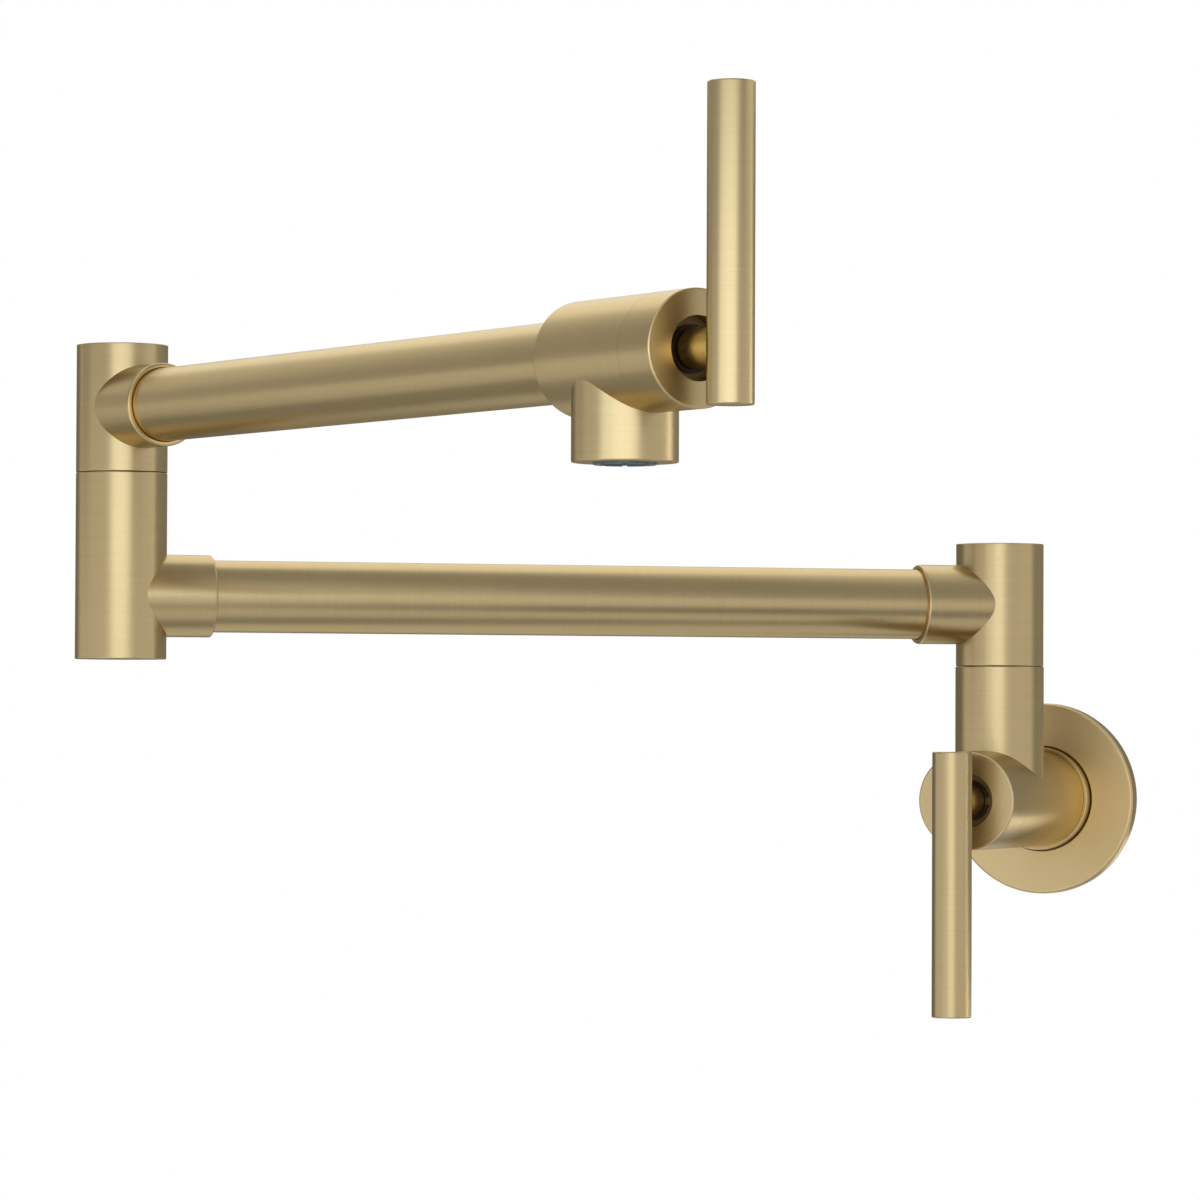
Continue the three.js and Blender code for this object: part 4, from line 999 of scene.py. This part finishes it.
ceramic = matt(
    "lapped_ceramic", CERAMIC_LIGHT, CERAMIC_DARK, roughness=0.22, grain=0.6, relief=0.01)
slip_plastic = matt(
    "slip_plastic", SLIP_LIGHT, SLIP_DARK, roughness=0.5, grain=0.8, relief=0.02)
inner_brass = bare_brass("bare_brass", WALL, UP)
FINISHES = {
    "satin_gold": gold_at_wall,
    "bare_brass": inner_brass,
    "steel": steel,
    "ceramic": ceramic,
    "ptfe": slip_plastic,
    "rubber": rubber,
    "grey_plastic": grey_plastic,
}
for row in frame["record"]["subparts"]:
    is_hub_screw = row["node"].endswith("_hub_screw")
    for place in frame["nodes"][row["node"]].material_slots:
        place.material = blackened if is_hub_screw else FINISHES[row["material_slot"]]

# ---- Camera ------------------------------------------------------------------
# It stands where the photograph's camera stood: to the right of the tap, a little below the
# upper arm, and far enough away for a long lens.

CAMERA_PLACE = Vector((0.52523, -1.74377, 0.02005))
CAMERA_YAW = math.radians(21.490)
CAMERA_PITCH = math.radians(1.453)
CAMERA_ROLL = math.radians(0.248)
CAMERA_LENS = 161.72
CAMERA_SENSOR = 36
CAMERA_FAR = 20

scene = bpy.context.scene
bpy.ops.object.camera_add(location=CAMERA_PLACE)
camera = bpy.context.object
aim = Euler((math.pi / 2 + CAMERA_PITCH, 0, CAMERA_YAW)).to_quaternion()
camera.rotation_mode = "QUATERNION"
camera.rotation_quaternion = aim @ Quaternion((0, 0, 1), CAMERA_ROLL)
camera.data.lens = CAMERA_LENS
camera.data.sensor_width = CAMERA_SENSOR
camera.data.clip_end = CAMERA_FAR
scene.camera = camera
scene.view_settings.view_transform = "Standard"

# ---- Floor and white room ----------------------------------------------------
# A plain pale floor well below the tap, in an evenly lit white room. The camera, and what metal
# mirrors, see the room as white, and its light on the tap is plainer than that.

FLOOR_DROP = 1.1
FLOOR_SIZE = 14.0
FLOOR_TONE = (0.8, 0.8, 0.79, 1)
FLOOR_WHITE = 0.8  # how much of what is seen of the floor is plain white
ROOM_LIGHT = 0.75


def seen(tree):
    """1 for rays from the camera, and for those that metal or glass sends on, and 0 for light."""
    names = ("Is Camera Ray", "Is Glossy Ray", "Is Transmission Ray")
    rays = [new_node(tree, "ShaderNodeLightPath", {}, {}, name) for name in names]
    total = rays[0] + rays[1] + rays[2]
    return new_node(tree, "ShaderNodeMath", {"operation": "MINIMUM"}, {0: total, 1: 1.0})


bpy.ops.mesh.primitive_plane_add(size=FLOOR_SIZE, location=(0, 0, -FLOOR_DROP))
floor = bpy.context.object
floor.name = "floor"
floor_material, tree = blank_material("pale_floor")
pale = new_node(tree, "ShaderNodeBsdfDiffuse", {}, {"Color": FLOOR_TONE})
white = new_node(tree, "ShaderNodeEmission", {}, {"Strength": 1.0})
shown = new_node(tree, "ShaderNodeMixShader", {}, {0: FLOOR_WHITE * seen(tree), 1: pale, 2: white})
new_node(tree, "ShaderNodeOutputMaterial", {}, {"Surface": shown})
floor.data.materials.append(floor_material)

world = bpy.data.worlds.new("white_room")
scene.world = world
world.use_nodes = True
tree = world.node_tree
tree.nodes.clear()
fill = new_node(tree, "ShaderNodeBackground", {}, {"Color": (1, 1, 1, 1), "Strength": ROOM_LIGHT})
white = new_node(tree, "ShaderNodeBackground", {}, {"Color": (1, 1, 1, 1), "Strength": 1.0})
shown = new_node(tree, "ShaderNodeMixShader", {}, {0: seen(tree), 1: fill, 2: white})
new_node(tree, "ShaderNodeOutputWorld", {}, {"Surface": shown})

# ---- Soft lamps and cards ----------------------------------------------------
# Soft lamps in front, low down, and above the back put the long highlights on the tubes. Cards
# round the tap give the metal its darker bands, as grey board does in a product studio, and two
# bright ones put light lines on its right sides and barrels.

STUDIO_CENTRE = Vector((-0.10, -0.20, 0.06))
# Degrees round from the camera to the right, degrees up, metres off, half sizes, and level. A
# lamp has its tint as well.
LAMPS = {
    "front": (-7.3, 7.9, 0.55, 0.29, 0.08, 1.42, (0.74, 0.87, 1.0)),
    "low_front": (-2.6, -12.0, 1.68, 0.55, 0.42, 0.88, (1, 1, 1)),
    "low_left": (-42.0, -24.0, 1.6, 0.40, 0.20, 1.5, (1, 1, 1)),
    "top_back": (186.5, 48.5, 1.76, 0.80, 0.89, 0.66, (1, 1, 1)),
}
CARDS = {
    "right_back": (137.0, 4.0, 0.52, 0.41, 0.18, 0.36),
    "left_back": (-157.2, -5.0, 0.80, 0.59, 0.36, 0.26),
    "right_over": (47.6, 57.0, 0.80, 0.25, 0.85, 0.43),
    "right_under": (38.1, -44.0, 1.88, 0.36, 0.90, 0.16),
    "left_under": (-117.1, -40.1, 0.80, 0.27, 0.29, 0.42),
    "under": (149.8, -87.5, 0.80, 0.49, 0.14, 0.37),
    "left_over": (-99.8, 28.0, 0.85, 0.23, 0.38, 0.50),
    "front_over": (-62.7, 26.7, 0.82, 0.42, 0.23, 0.50),
    "right": (79.4, -2.4, 1.60, 0.26, 0.13, 0.74),
    "right_white": (104.2, -2.6, 1.53, 0.25, 0.23, 3.4),
    "barrel_light": (141.2, -15.8, 0.99, 0.25, 0.055, 2.2),
    "barrel_under": (141.0, -34.4, 0.98, 0.28, 0.27, 0.20),
}


def stand(azimuth, elevation, distance):
    """A place round the tap, in degrees and metres from the studio's centre, and the turn that
    makes what stands there face that centre."""
    round_by = math.radians(azimuth) + CAMERA_YAW
    up_by = math.radians(elevation)
    across = math.cos(up_by)
    way = Vector((across * math.sin(round_by), -across * math.cos(round_by), math.sin(up_by)))
    return STUDIO_CENTRE + way * distance, way.to_track_quat("Z", "Y")


for name, (azimuth, elevation, distance, half_width, half_height, level, tint) in LAMPS.items():
    place, turn = stand(azimuth, elevation, distance)
    bpy.ops.object.light_add(type="AREA", location=place)
    lamp = bpy.context.object
    lamp.name = name
    lamp.rotation_mode = "QUATERNION"
    lamp.rotation_quaternion = turn
    lamp.data.shape = "RECTANGLE"
    lamp.data.size = 2 * half_width
    lamp.data.size_y = 2 * half_height
    lamp.data.color = tint
    lamp.data.energy = level * math.pi * 4 * half_width * half_height  # level is its radiance
    lamp.visible_camera = False

for name, (azimuth, elevation, distance, half_width, half_height, level) in CARDS.items():
    place, turn = stand(azimuth, elevation, distance)
    bpy.ops.mesh.primitive_plane_add(size=1, location=place)
    card = bpy.context.object
    card.name = name
    card.rotation_mode = "QUATERNION"
    card.rotation_quaternion = turn
    card.scale = (2 * half_width, 2 * half_height, 1)
    board, tree = blank_material(f"{name}_board")
    grey = new_node(tree, "ShaderNodeEmission", {}, {"Strength": level})
    new_node(tree, "ShaderNodeOutputMaterial", {}, {"Surface": grey})
    card.data.materials.append(board)
    card.visible_camera = False
    card.visible_diffuse = False
    card.visible_shadow = False
